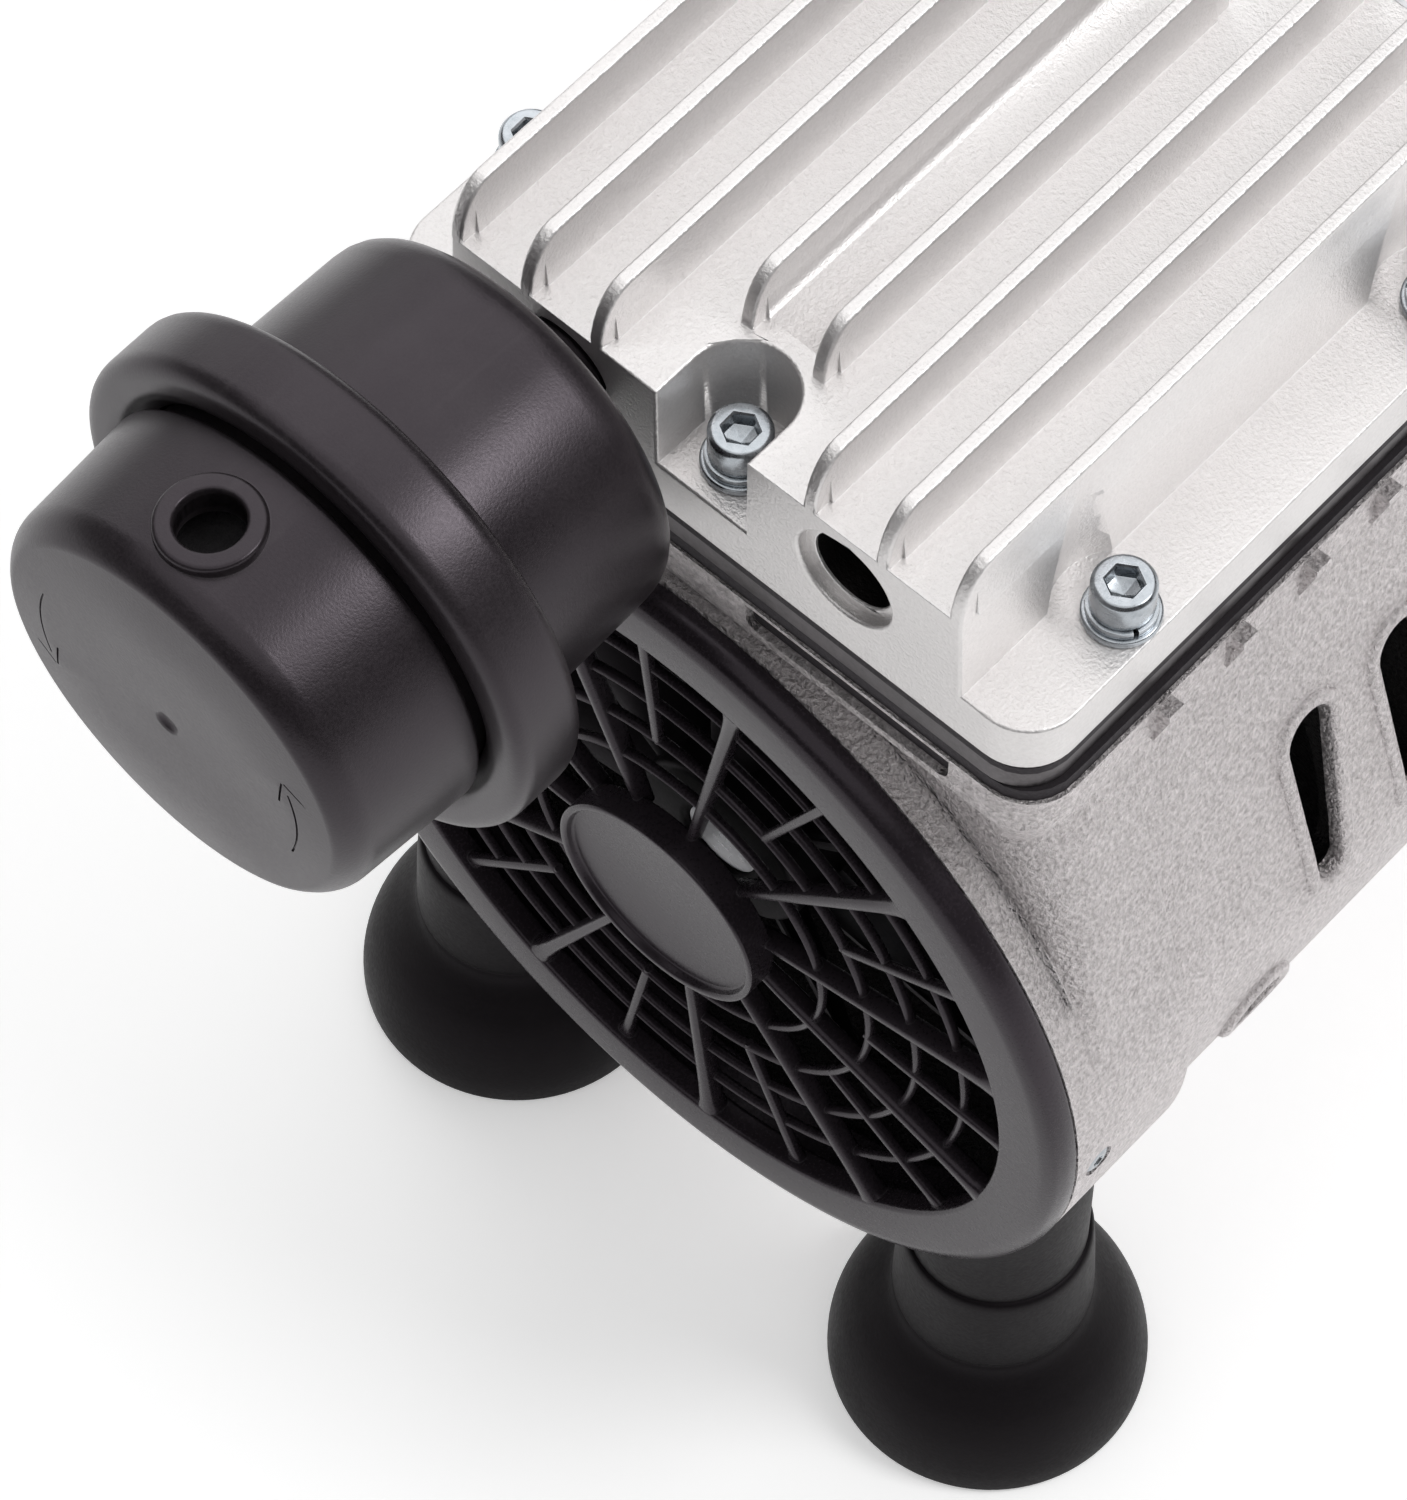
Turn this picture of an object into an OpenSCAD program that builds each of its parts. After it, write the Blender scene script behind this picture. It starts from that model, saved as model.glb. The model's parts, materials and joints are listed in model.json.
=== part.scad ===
// Oil-free twin-head vacuum pump, in millimetres, standing on its feet at z = 0.
// The shaft runs along Y with the muffler at its -Y end, +Z is up, and the origin lies on the
// floor in the middle of the four feet. Places along Y are counted from the front cover's face.

/* [Overall] */
// Length from the front cover's face to the rear cover's face
pump_length = 300; // [280:1:340]
// Rise of the feet's tops over the round body's lowest line
foot_rise = 4.5; // [3:0.1:6]
// Crank throw, half of the piston's stroke, as a share of the body's radius
throw_share = 0.11392; // [0.1025:0.00001:0.1253]
// Round faces are drawn with this many steps
round_steps = 72; // [48:12:96]

/* [Housing] */
// Outer radius of the round body
body_r = 79; // [77:0.5:81]
// Radius of the thicker collar behind each fan guard, as a share of the body's radius
collar_r_share = 1.03038; // [0.9273:0.00001:1.1334]
// Length of the collar, as a share of the pump length
collar_len_share = 0.09; // [0.081:0.00001:0.099]
// Front edge of the collar, before the cover's face
collar_front = 2; // [1:0.5:4]
// Radius of the fan chamber, as a share of the body's radius
fan_bore_r_share = 0.95443; // [0.859:0.00001:1.0499]
// Depth of the fan chamber, as a share of the pump length
fan_bore_len_share = 0.07333; // [0.066:0.00001:0.0807]
// Radius of the crank chamber, as a share of the body's radius
crank_bore_r_share = 0.91139; // [0.8203:0.00001:1.0025]
// Radius of the stator's seat, as a share of the body's radius
motor_bore_r_share = 0.88608; // [0.7975:0.00001:0.9747]
// Front of the bearing wall, as a share of the pump length
web_y_share = 0.27667; // [0.249:0.00001:0.3043]
// Thickness of the bearing wall, which is the bearing's width, as a share of the pump length
web_t_share = 0.04; // [0.036:0.00001:0.044]
// Radius of a vent hole in the bearing wall, as a share of the body's radius
web_hole_r_share = 0.10127; // [0.0911:0.00001:0.1114]
// Distance of the vent holes from the shaft, as a share of the body's radius
web_hole_ring_share = 0.50633; // [0.4557:0.00001:0.557]
// Set-back of the neck under the top flange's sides
neck_step = 3.8; // [3:0.1:6]
// Set-back of the neck from the flange's ends
neck_inset = 4; // [3:0.5:8]
// Lip of the housing's top flange outside the cover
flange_lip = 1.3; // [0.5:0.1:3]
// Thickness of the top flange
top_flange_t = 7.9; // [6:0.1:10]
// Rise of the top flange's upper face over the round body
deck_rise = 10.9; // [9:0.1:14]
// Corner radius of the top flange and the covers, seen from above
corner_r = 9; // [6:0.5:12]
// Start of the long recess in the flange's front edge, from the middle
recess_near = 9; // [6:0.5:14]
// End of the long recess in the flange's front edge, from the middle
recess_far = 49; // [40:0.5:54]
// Height of the long recess
recess_h = 5.4; // [4:0.1:6]
// Depth of the long recess
recess_depth = 7; // [4:0.5:10]
// Thin lip left over the long recess
recess_lip = 0.8; // [0.6:0.1:1.4]
// Corner radius of the long recess
recess_r = 2.2; // [1:0.1:2.6]
// First gusset under the flange, from the cover's face, as a share of the pump length
gusset_first_share = 0.09667; // [0.087:0.00001:0.1063]
// Pitch of the gussets, as a share of the pump length
gusset_pitch_share = 0.05667; // [0.051:0.00001:0.0623]
// Gussets on each side of one head
gussets = 5; // [3:1:6]
// Thickness of a gusset
gusset_t = 3; // [2:0.2:4]
// Height of a gusset
gusset_h = 13; // [8:0.5:16]
// Start of the lug at the valve plate's side, as a share of the pump length
lug_y_share = 0.06; // [0.054:0.00001:0.066]
// Length of that lug, as a share of the pump length
lug_len_share = 0.03; // [0.027:0.00001:0.033]
// Radius of the side boss behind the collar
boss_rim_r = 7.6; // [6:0.1:9]
// Height of the side boss over the round body
boss_rim_h = 0.8; // [0.8:0.1:2]
// Radius of the threaded hole in the side boss
side_hole_r = 4.4; // [2.5:0.1:4.5]
// Depth of that hole
side_hole_depth = 7; // [4:0.5:8]
// Side boss, from the cover's face, as a share of the pump length
side_boss_y_share = 0.15667; // [0.141:0.00001:0.1723]
// Side boss's angle under the shaft's height
side_boss_dip = 11; // [10:1:24]

// Height of the rounded support under each front corner of the top flange
corbel_h = 21; // [14:0.5:24]
// Radius of that support at its foot
corbel_tip_r = 1; // [0.5:0.1:4]

/* [Vents] */
// First vent slot, from the cover's face, as a share of the pump length
vent_first_share = 0.20667; // [0.186:0.00001:0.2273]
// Pitch of the vent slots, as a share of the pump length
vent_pitch_share = 0.07333; // [0.066:0.00001:0.0807]
// Vent slots on each side of one housing half
vents = 4; // [3:1:4]
// Radius of a vent slot's wide upper end
vent_r = 3.2; // [2.5:0.1:4.5]
// Radius of a vent slot's narrow lower end
vent_tip_r = 1.7; // [1:0.1:3]
// Height of a vent slot's upper centre over the shaft, as a share of the body's radius
vent_top_share = 0.51899; // [0.4671:0.00001:0.5709]
// Height of a vent slot's lower end over the shaft, as a share of the body's radius
vent_low_share = 0.13924; // [0.1253:0.00001:0.1532]
// Lean of the lower end towards the middle
vent_lean = 0.5; // [0:0.5:4]
// Inner end of the vent cutters, from the middle, as a share of the body's radius
vent_cut_x_share = 0.6962; // [0.6266:0.00001:0.7658]

/* [Head stack] */
// Thickness of the gasket under the valve plate
low_gasket_t = 2.8; // [1:0.1:3]
// Thickness of the valve plate
plate_t = 4.5; // [3:0.1:6]
// Thickness of the gasket over the valve plate
top_gasket_t = 1.7; // [1:0.1:2.4]
// Set-back of the upper gasket from the cover's edge
gasket_inset = 1.4; // [0.8:0.1:3]
// Set-back of the lower gasket from the cover's edge
low_gasket_inset = 3.4; // [2:0.1:4]
// Set-back of the valve plate from the cover's edge
plate_inset = 0.4; // [0:0.1:1]
// Radius of a port in the valve plate
plate_port_r = 3; // [2:0.1:4]
// Ports in each half of the valve plate
plate_ports = 4; // [2:1:5]
// Pitch of the ports in the valve plate, as a share of the pump length
plate_port_pitch_share = 0.03667; // [0.033:0.00001:0.0403]
// Distance of the ports from the middle, as a share of the cylinder bore's radius
plate_port_x_share = 0.47368; // [0.4263:0.00001:0.521]
// Thickness of a reed
reed_t = 0.5; // [0.3:0.05:0.8]
// Width of a reed
reed_w = 9; // [7:0.5:12]
// Length a reed passes its last port
reed_over = 8; // [5:0.5:10]

/* [Cylinder cover] */
// Half width of the cover's flange
cover_half = 64.5; // [62:0.5:65.5]
// Length of the cover, as a share of the pump length
cover_len_share = 0.42; // [0.378:0.00001:0.462]
// Thickness of the cover's flange
cover_flange_t = 10.5; // [8:0.1:12]
// Width of the cover's flange beside the raised block
flange_step = 14.1; // [12:0.1:16]
// Draft of the raised block's sides
block_taper = 0.8; // [0.2:0.1:2]
// Height of the raised block over the flange
block_h = 19.1; // [16:0.1:22]
// Height of the cooling fins
fin_h = 10.9; // [8:0.1:13]
// Thickness of a fin at its top
fin_t = 2.4; // [1.8:0.1:3.2]
// Thickness of a fin at its root
fin_root_t = 3.4; // [2.4:0.1:4.4]
// Cooling fins on the cover
fins = 8; // [6:1:9]
// Outer fins' middle inside the block's top edge
fin_edge = 1.055; // [0.8:0.005:2]
// Length of the curve at a fin's end
fin_curve = 6.5; // [4:0.1:9]
// Steps in the curve at a fin's end
fin_curve_steps = 7; // [4:1:10]
// Width of the screw notch in each end of the block
notch_w = 17.6; // [16:0.1:20]
// Centre of the end screw, from the cover's face
end_screw_y = 8.6; // [8:0.1:10]
// Side screws' centres inside the cover's edge
side_screw_edge = 6.2; // [5.8:0.1:7]
// First side screw, from the cover's face, as a share of the pump length
side_screw_y_share = 0.088; // [0.0792:0.00001:0.0968]
// Radius of the hollow beside each side screw
scoop_r = 10.8; // [9.4:0.1:12]
// Radius of that hollow at the top of the fins
scoop_top_r = 8.4; // [7:0.1:8.8]
// Distance of each port from the middle, as a share of the cover's half width
port_x_share = 0.42946; // [0.4:0.00001:0.46]
// Port centre under the top of the block
port_drop = 11.5; // [10:0.1:12]
// Radius of the port's bore
port_bore_r = 7.2; // [6:0.1:7.8]
// Radius of the port's mouth
port_mouth_r = 9; // [8:0.1:9.4]
// Depth of the port's mouth
port_mouth_depth = 2; // [1:0.1:3]
// Half thickness of the wall between the two chambers
divider_half = 5; // [4:0.1:8]
// Wall outside each chamber
chamber_wall = 6.4; // [5:0.1:9]
// Start of each chamber, from the cover's face, as a share of the pump length
chamber_start_share = 0.06667; // [0.06:0.00001:0.0733]
// Metal over each chamber
chamber_roof = 5.6; // [4:0.1:8]

/* [Fasteners] */
// Radius of a cap screw's head
head_r = 5; // [4:0.1:6]
// Height of a cap screw's head
head_h = 6; // [5:0.1:7]
// Hexagon socket, across flats
socket_af = 5; // [4:0.1:6]
// Depth of the hexagon socket
socket_depth = 3; // [2:0.1:4]
// Radius of a cap screw's shank
shank_r = 3; // [2.5:0.1:3.4]
// Length of the cover screws' shank
cover_shank = 34; // [30:0.5:38]
// Thickness of a spring washer
spring_washer_t = 1.6; // [1.2:0.1:2]
// Radius of a spring washer
spring_washer_r = 5.5; // [5.2:0.1:6]
// Slit of a spring washer
washer_slit = 0.9; // [0.5:0.1:1.4]
// Thickness of a flat washer
flat_washer_t = 1.5; // [1:0.1:2]
// Radius of a flat washer
flat_washer_r = 6.1; // [5.8:0.1:6.3]
// Radius of a guard screw's head
guard_screw_r = 3; // [2:0.1:3.6]
// Height of a guard screw's head
guard_screw_h = 1.6; // [1:0.1:2]
// Radius of a guard screw's shank
guard_shank_r = 1.5; // [1.2:0.1:1.6]
// Length of a guard screw's shank
guard_shank = 6.5; // [5:0.1:8]
// Guard screws behind the cover's face
guard_screw_y = 3.5; // [3:0.1:5]
// Angle of the side guard screws under the shaft's height
guard_screw_dip = 2.8; // [0:0.1:10]
// Radius of a housing tie stud
tie_r = 2.5; // [2:0.1:3]
// Distance of the tie studs from the shaft, as a share of the body's radius
tie_ring_share = 0.9443; // [0.8499:0.00001:1.0387]
// Length of a tie stud on each side of the joint, as a share of the pump length
tie_len_share = 0.08667; // [0.078:0.00001:0.0953]
// First tie stud's angle below the side
tie_angle = 34; // [20:1:45]

/* [Muffler] */
// Muffler's front face, before the cover's face
cap_front = 82.5; // [78:0.5:86]
// Cap radius at its front, as a share of the ring's radius
cap_front_r_share = 0.79909; // [0.7192:0.00001:0.879]
// Cap radius at its root, as a share of the ring's radius
cap_root_r_share = 0.83105; // [0.7479:0.00001:0.9142]
// Rounding of the cap's front edge
cap_round = 3.6; // [2:0.1:5]
// Wall of the cap and the body
muffler_wall = 3; // [2:0.1:4]
// Front of the muffler's ring, as a share of the front face's distance
ring_front_share = 0.67273; // [0.6055:0.00001:0.74]
// Back of the muffler's ring, as a share of the front face's distance
ring_back_share = 0.50788; // [0.4571:0.00001:0.5587]
// Radius of the muffler's ring
ring_r = 43.8; // [42:0.1:46]
// Rounding of the muffler's ring
ring_round = 3; // [1:0.1:4]
// Gap between the cap and the ring's lip
cap_gap = 0.5; // [0.35:0.05:1]
// Length of the cap inside the ring
cap_tail = 4.6; // [3:0.1:6]
// Radius of the cap's tail inside the ring, as a share of the ring's radius
cap_tail_r_share = 0.76484; // [0.6884:0.00001:0.8413]
// Radius of the body behind the ring, as a share of the ring's radius
drum_r_share = 0.78539; // [0.7069:0.00001:0.8639]
// Radius of the body at its back, as a share of the ring's radius
drum_back_r_share = 0.76712; // [0.6904:0.00001:0.8438]
// Back of the body, before the cover's face
drum_back = 9.8; // [8:0.1:12]
// Rounding of the body's back edge
drum_round = 6; // [3:0.1:8]
// Radius of the threaded neck where it shows
neck_r = 8.6; // [8:0.1:9]
// Length of the neck inside the port
neck_in = 11; // [8:0.5:14]
// Radius of the neck's bore
neck_bore_r = 4.8; // [4:0.1:5.4]
// Radius of the outlet hole in the cap's side
outlet_r = 5.2; // [4:0.1:6]
// Radius of the raised rim round the outlet hole
outlet_rim_r = 8.3; // [7:0.1:10]
// Height of that rim over the cap's front radius
outlet_rim_h = 1.8; // [0.5:0.1:2.4]
// Outlet hole, before the cover's face, as a share of the front face's distance
outlet_y_share = 0.83394; // [0.7505:0.00001:0.9173]
// Outlet hole's angle from the right, seen from the front
outlet_angle = 92.5; // [80:0.5:110]
// Radius of the moulding mark in the cap's middle
gate_r = 1.8; // [1:0.1:3]
// Depth of the moulding mark
gate_depth = 0.8; // [0.4:0.1:1.2]
// Outer radius of the felt sleeve, as a share of the ring's radius
felt_r_share = 0.61644; // [0.5548:0.00001:0.6781]
// Inner radius of the felt sleeve, as a share of the ring's radius
felt_bore_r_share = 0.34247; // [0.3082:0.00001:0.3767]
// Room between the felt sleeve and the cap's front wall
felt_end_gap = 5.5; // [2:0.5:12]
// Twist that opens the cap, in degrees
cap_turn = 40; // [20:5:60]

/* [Fan guard] */
// Guard's flat ring, before the cover's face
guard_face = 7.5; // [6:0.1:9]
// Inner radius of the flat ring, as a share of the body's radius
guard_in_r_share = 0.87722; // [0.7895:0.00001:0.9649]
// Outer radius of the flat part of the ring, as a share of the body's radius
guard_flat_r_share = 0.99241; // [0.8932:0.00001:1.0917]
// Thickness of the guard's shell
guard_t = 2.6; // [2:0.1:3.4]
// Length of the guard's spigot inside the housing
spigot_len = 8.4; // [7.4:0.1:10]
// Thickness of that spigot
spigot_t = 2.2; // [1.8:0.1:3]
// Gap round the spigot
spigot_gap = 0.05; // [0.02:0.01:0.1]
// Main spokes of the guard
spokes = 11; // [8:1:13]
// First main spoke's angle from the top, towards the right
spoke_first = 10.3; // [0:0.1:32]
// Width of a main spoke at the ring
spoke_w = 3; // [2.2:0.1:3.6]
// Width of a main spoke at the hub
spoke_hub_w = 2; // [1.6:0.1:3]
// Depth of a main spoke
spoke_depth = 4; // [3:0.1:5]
// Set-back of the main spokes behind the ring's face
spoke_set = 0.3; // [0.1:0.1:1]
// Length of a spoke's end inside the ring
spoke_sink = 1.2; // [0.5:0.1:2]
// Width of a short spoke
short_w = 1.8; // [1.2:0.1:2.4]
// Inner end of the short spokes, as a share of the body's radius
short_from_share = 0.50633; // [0.4557:0.00001:0.557]
// Set-back of the short spokes behind the ring's face
short_back = 1.4; // [0.8:0.1:3]
// Radius of the innermost wire ring, as a share of the body's radius
wire_first_share = 0.39241; // [0.3532:0.00001:0.4317]
// Pitch of the wire rings, as a share of the body's radius
wire_pitch_share = 0.12278; // [0.1105:0.00001:0.1351]
// Wire rings between the hub and the outer ring
wires = 4; // [3:1:5]
// Width of a wire ring
wire_w = 1.4; // [1:0.1:2]
// Depth of a wire ring
wire_depth = 2; // [1.4:0.1:3]
// Set-back of the innermost wire ring
wire_back = 1.1; // [0.6:0.1:2]
// Further set-back of each next wire ring
wire_step = 0.33; // [0:0.01:0.5]
// Radius of the guard's hub, as a share of the body's radius
hub_r_share = 0.26329; // [0.237:0.00001:0.2896]
// Wall of the hub's rim
hub_rim_t = 1.3; // [1:0.1:2]
// Hub rim, before the cover's face
hub_front = 11.2; // [9:0.1:13]
// Depth of the hub
hub_depth = 5.6; // [4.4:0.1:8]
// Depth of the dish inside the rim
hub_dish = 1.5; // [0.8:0.1:2.4]

/* [Feet] */
// Distance of the feet from the middle
foot_x = 56; // [52:0.5:60]
// Distance of the feet behind the cover's face
foot_y = 12.6; // [10:0.1:18]
// Radius of a foot at the floor
foot_r = 28; // [26:0.5:30]
// Height of the rubber
foot_h = 50; // [44:0.5:54]
// Radius of a foot's neck, as a share of the foot's radius
foot_neck_r_share = 0.62143; // [0.5593:0.00001:0.6836]
// Radius of a foot's neck at its top, as a share of the foot's radius
foot_neck_top_r_share = 0.58571; // [0.5271:0.00001:0.6443]
// Height of the bell's shoulder, as a share of the foot's height
foot_shoulder_share = 0.52; // [0.468:0.00001:0.572]
// Radius of the screw hole under a foot
foot_hole_r = 3.2; // [2.5:0.1:4]
// Depth of that screw hole, as a share of the foot's height
foot_hole_depth_share = 0.36; // [0.324:0.00001:0.396]
// Radius of the collar over a foot, as a share of the foot's radius
foot_collar_r_share = 0.55; // [0.495:0.00001:0.605]
// Height of the collar's outer side
foot_collar_h = 30; // [24:0.5:32]
// Radius of the stud over a foot
foot_stud_r = 4; // [3:0.1:5]
// Radius of the stud's plate inside the rubber, as a share of the foot's radius
foot_stud_plate_r_share = 0.35714; // [0.3214:0.00001:0.3929]
// Thickness of that plate
foot_stud_plate_t = 3; // [2:0.1:4]
// Stud length into the housing
foot_stud_in = 4; // [3:0.5:5]

/* [Motor] */
// Length of the stator core, as a share of the pump length
stator_len_share = 0.21333; // [0.192:0.00001:0.2347]
// Slots in the stator
stator_slots = 24; // [12:4:36]
// Depth of a stator slot, as a share of the body's radius
slot_depth_share = 0.18987; // [0.1709:0.00001:0.2089]
// Width of a stator slot
slot_w = 4.6; // [3:0.1:6]
// Outer radius of the rotor core, as a share of the body's radius
rotor_r_share = 0.5; // [0.45:0.00001:0.55]
// Gap between the rotor and the stator
air_gap = 0.5; // [0.4:0.05:1]
// Length of the rotor core, as a share of the pump length
rotor_len_share = 0.22; // [0.198:0.00001:0.242]
// Radius of the rotor's end rings, as a share of the body's radius
end_ring_r_share = 0.46835; // [0.4215:0.00001:0.5152]
// Length of the rotor's end rings, as a share of the pump length
end_ring_len_share = 0.02333; // [0.021:0.00001:0.0257]
// Radius of the shaft in the rotor and the bearings, as a share of the body's radius
shaft_r_share = 0.10759; // [0.0968:0.00001:0.1183]
// Radius of the shaft's outer ends, as a share of the body's radius
shaft_end_r_share = 0.08861; // [0.0797:0.00001:0.0975]
// Outer radius of a main bearing, as a share of the body's radius
bearing_r_share = 0.25316; // [0.2278:0.00001:0.2785]
// Depth of the groove between a bearing's races
bearing_groove = 1; // [0.6:0.1:1.6]
// Running fit of the shaft in a main bearing
running_fit = 0.02; // [0.01:0.005:0.05]
// Outer radius of the windings' ends, as a share of the body's radius
coil_r_share = 0.81013; // [0.7291:0.00001:0.8911]
// Inner radius of the windings' ends, as a share of the body's radius
coil_bore_r_share = 0.5443; // [0.4899:0.00001:0.5987]
// Length of the windings' ends, as a share of the pump length
coil_len_share = 0.03667; // [0.033:0.00001:0.0403]
// Radius of the cable gland's hexagon
gland_r = 9; // [7:0.5:11]
// Radius of the cable gland's nose
gland_nose_r = 6.8; // [5:0.1:8]
// Depth of the cable gland's bore
gland_bore_len = 8; // [5:0.5:10]
// Cable gland's angle under the shaft's height
gland_dip = 13; // [5:1:25]
// Cable gland, before the windings, as a share of the pump length
gland_gap_share = 0.04; // [0.036:0.00001:0.044]
// Length of the cable gland outside the housing
gland_len = 12; // [8:0.5:16]
// Bore of the cable gland
gland_bore_r = 4; // [3:0.1:5]

/* [Crank and piston] */
// Radius of the crank's eccentric, as a share of the body's radius
ecc_r_share = 0.24051; // [0.2165:0.00001:0.2646]
// Width of the eccentric, as a share of the pump length
ecc_w_share = 0.04333; // [0.039:0.00001:0.0477]
// Outer radius of the rod's bearing, as a share of the body's radius
rod_bearing_r_share = 0.34177; // [0.3076:0.00001:0.3759]
// Outer radius of the rod's big end, as a share of the body's radius
big_end_r_share = 0.41772; // [0.3759:0.00001:0.4595]
// Thickness of the rod, as a share of the pump length
rod_t_share = 0.03867; // [0.0348:0.00001:0.0425]
// Width of the rod's shank
rod_w = 15; // [12:0.5:16]
// Pin's centre under the crown's top, as a share of the body's radius
pin_drop_share = 0.38734; // [0.35:0.00001:0.42]
// Radius of the rod's small end
small_end_r = 8; // [7:0.1:9]
// Radius of the hole in the rod's small end
small_bore_r = 4.2; // [3.6:0.1:5]
// Radius of the counterweights, as a share of the body's radius
weight_r_share = 0.44304; // [0.3987:0.00001:0.4873]
// Thickness of a counterweight, as a share of the pump length
weight_t_share = 0.02; // [0.018:0.00001:0.022]
// Height of a counterweight's flat edge over the shaft's centre, as a share of the body's radius
weight_edge_share = 0.1519; // [0.1367:0.00001:0.1671]
// Gap between the eccentric and a counterweight
weight_gap = 0.5; // [0.4:0.1:1]
// Bore of the cylinder sleeve, radius, as a share of the pump length
bore_r_share = 0.12667; // [0.114:0.00001:0.1393]
// Wall of the cylinder sleeve
sleeve_wall = 3; // [2.4:0.1:4]
// Length of the cylinder sleeve, as a share of the body's radius
sleeve_len_share = 0.63291; // [0.5696:0.00001:0.6962]
// Running gap of the piston's cup seal
cup_gap = 0.05; // [0.02:0.01:0.1]
// Room under the piston's skirt at the bottom of its stroke
piston_relief = 2; // [1:0.1:4]
// Gap of the piston's skirt to the sleeve
skirt_gap = 0.5; // [0.35:0.05:1]
// Wall of the piston's skirt
skirt_wall = 3.2; // [2.6:0.1:4]
// Height of the whole piston, as a share of the body's radius
piston_h_share = 0.46076; // [0.4147:0.00001:0.5068]
// Thickness of the piston's crown
crown_t = 4; // [3:0.1:6]
// Gap between the crown and the valve plate at the top
head_gap = 0.8; // [0.5:0.1:1.5]
// Height of the piston's cup seal
cup_h = 2.4; // [1.6:0.1:3]
// Radial depth of the cup seal's groove
cup_depth = 2; // [1.4:0.1:2.6]
// Cup seal's upper edge under the crown's top
cup_drop = 1; // [0.6:0.1:1.6]
// Radius of the pin bosses inside the piston
boss_r = 6; // [5:0.1:7]
// Distance of each boss's end from the rod's middle plane
boss_from = 8.2; // [7:0.1:10]
// Radius of the pin stubs
pin_r = 3.6; // [3:0.1:4.4]
// Radius of the fan's hub, as a share of the body's radius
fan_hub_r_share = 0.21519; // [0.1937:0.00001:0.2367]
// Length of the fan's hub, as a share of the pump length
fan_hub_len_share = 0.05; // [0.045:0.00001:0.055]
// Radius at the tips of the fan's blades, as a share of the body's radius
fan_r_share = 0.83544; // [0.7519:0.00001:0.919]
// Blades on each fan
blades = 7; // [5:1:9]
// Thickness of a blade
blade_t = 2.2; // [1.6:0.1:3]
// Depth of a blade's root inside the hub
blade_root = 2; // [1:0.1:3]
// Width of a blade along the shaft, as a share of the pump length
blade_w_share = 0.04333; // [0.039:0.00001:0.0477]
// Pitch angle of the blades
blade_pitch = 32; // [20:1:45]
// Front of the fan's hub behind the cover's face, as a share of the pump length
fan_front_y_share = 0.01333; // [0.012:0.00001:0.0147]
// Set-back of the shaft's end in the fan's hub
shaft_back = 1; // [0.5:0.1:2]

/* [Pipes and plugs] */
// Outer radius of the pipes between the covers
pipe_r = 6.5; // [5:0.1:7]
// Wall of those pipes
pipe_wall = 1.2; // [0.8:0.1:1.6]
// Length of each pipe inside a cover, as a share of the pump length
pipe_in_share = 0.04; // [0.036:0.00001:0.044]
// Radius of a pipe's seal collar
pipe_collar_r = 9; // [8:0.1:11]
// Length of a pipe's seal collar
pipe_collar_len = 4; // [3:0.1:6]
// Radius of a plug's hexagon
plug_head_r = 10.5; // [9:0.1:12]
// Height of a plug's head
plug_head_h = 6; // [4:0.1:8]
// Radius of a plug's thread
plug_r = 6.6; // [6:0.1:6.9]
// Gap round a plug's thread, and round the muffler's neck
thread_gap = 0.05; // [0.02:0.01:0.1]
// Length of a plug's thread
plug_len = 9; // [7:0.5:12]

/* [Hidden] */
$fn = round_steps;
mid_y = pump_length / 2;
deck_h = body_r + deck_rise;
axis_z = body_r + foot_h - foot_rise;
throw = throw_share * body_r;
collar_r = collar_r_share * body_r;
fan_bore_r = fan_bore_r_share * body_r;
crank_bore_r = crank_bore_r_share * body_r;
motor_bore_r = motor_bore_r_share * body_r;
web_hole_r = web_hole_r_share * body_r;
web_hole_ring = web_hole_ring_share * body_r;
vent_top = vent_top_share * body_r;
vent_low = vent_low_share * body_r;
vent_cut_x = vent_cut_x_share * body_r;
tie_ring = tie_ring_share * body_r;
guard_in_r = guard_in_r_share * body_r;
guard_flat_r = guard_flat_r_share * body_r;
short_from = short_from_share * body_r;
wire_first = wire_first_share * body_r;
wire_pitch = wire_pitch_share * body_r;
hub_r = hub_r_share * body_r;
slot_depth = slot_depth_share * body_r;
rotor_r = rotor_r_share * body_r;
end_ring_r = end_ring_r_share * body_r;
coil_r = coil_r_share * body_r;
coil_bore_r = coil_bore_r_share * body_r;
shaft_r = shaft_r_share * body_r;
shaft_end_r = shaft_end_r_share * body_r;
bearing_r = bearing_r_share * body_r;
ecc_r = ecc_r_share * body_r;
rod_bearing_r = rod_bearing_r_share * body_r;
big_end_r = big_end_r_share * body_r;
weight_r = weight_r_share * body_r;
weight_edge = weight_edge_share * body_r;
piston_h = piston_h_share * body_r;
sleeve_len = sleeve_len_share * body_r;
fan_hub_r = fan_hub_r_share * body_r;
fan_r = fan_r_share * body_r;
collar_len = collar_len_share * pump_length;
fan_bore_len = fan_bore_len_share * pump_length;
web_y = web_y_share * pump_length;
web_t = web_t_share * pump_length;
gusset_first = gusset_first_share * pump_length;
gusset_pitch = gusset_pitch_share * pump_length;
lug_y = lug_y_share * pump_length;
lug_len = lug_len_share * pump_length;
side_boss_y = side_boss_y_share * pump_length;
vent_first = vent_first_share * pump_length;
vent_pitch = vent_pitch_share * pump_length;
cover_len = cover_len_share * pump_length;
side_screw_y = side_screw_y_share * pump_length;
chamber_start = chamber_start_share * pump_length;
plate_port_pitch = plate_port_pitch_share * pump_length;
stator_len = stator_len_share * pump_length;
rotor_len = rotor_len_share * pump_length;
end_ring_len = end_ring_len_share * pump_length;
coil_len = coil_len_share * pump_length;
gland_gap = gland_gap_share * pump_length;
tie_len = tie_len_share * pump_length;
bore_r = bore_r_share * pump_length;
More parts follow.
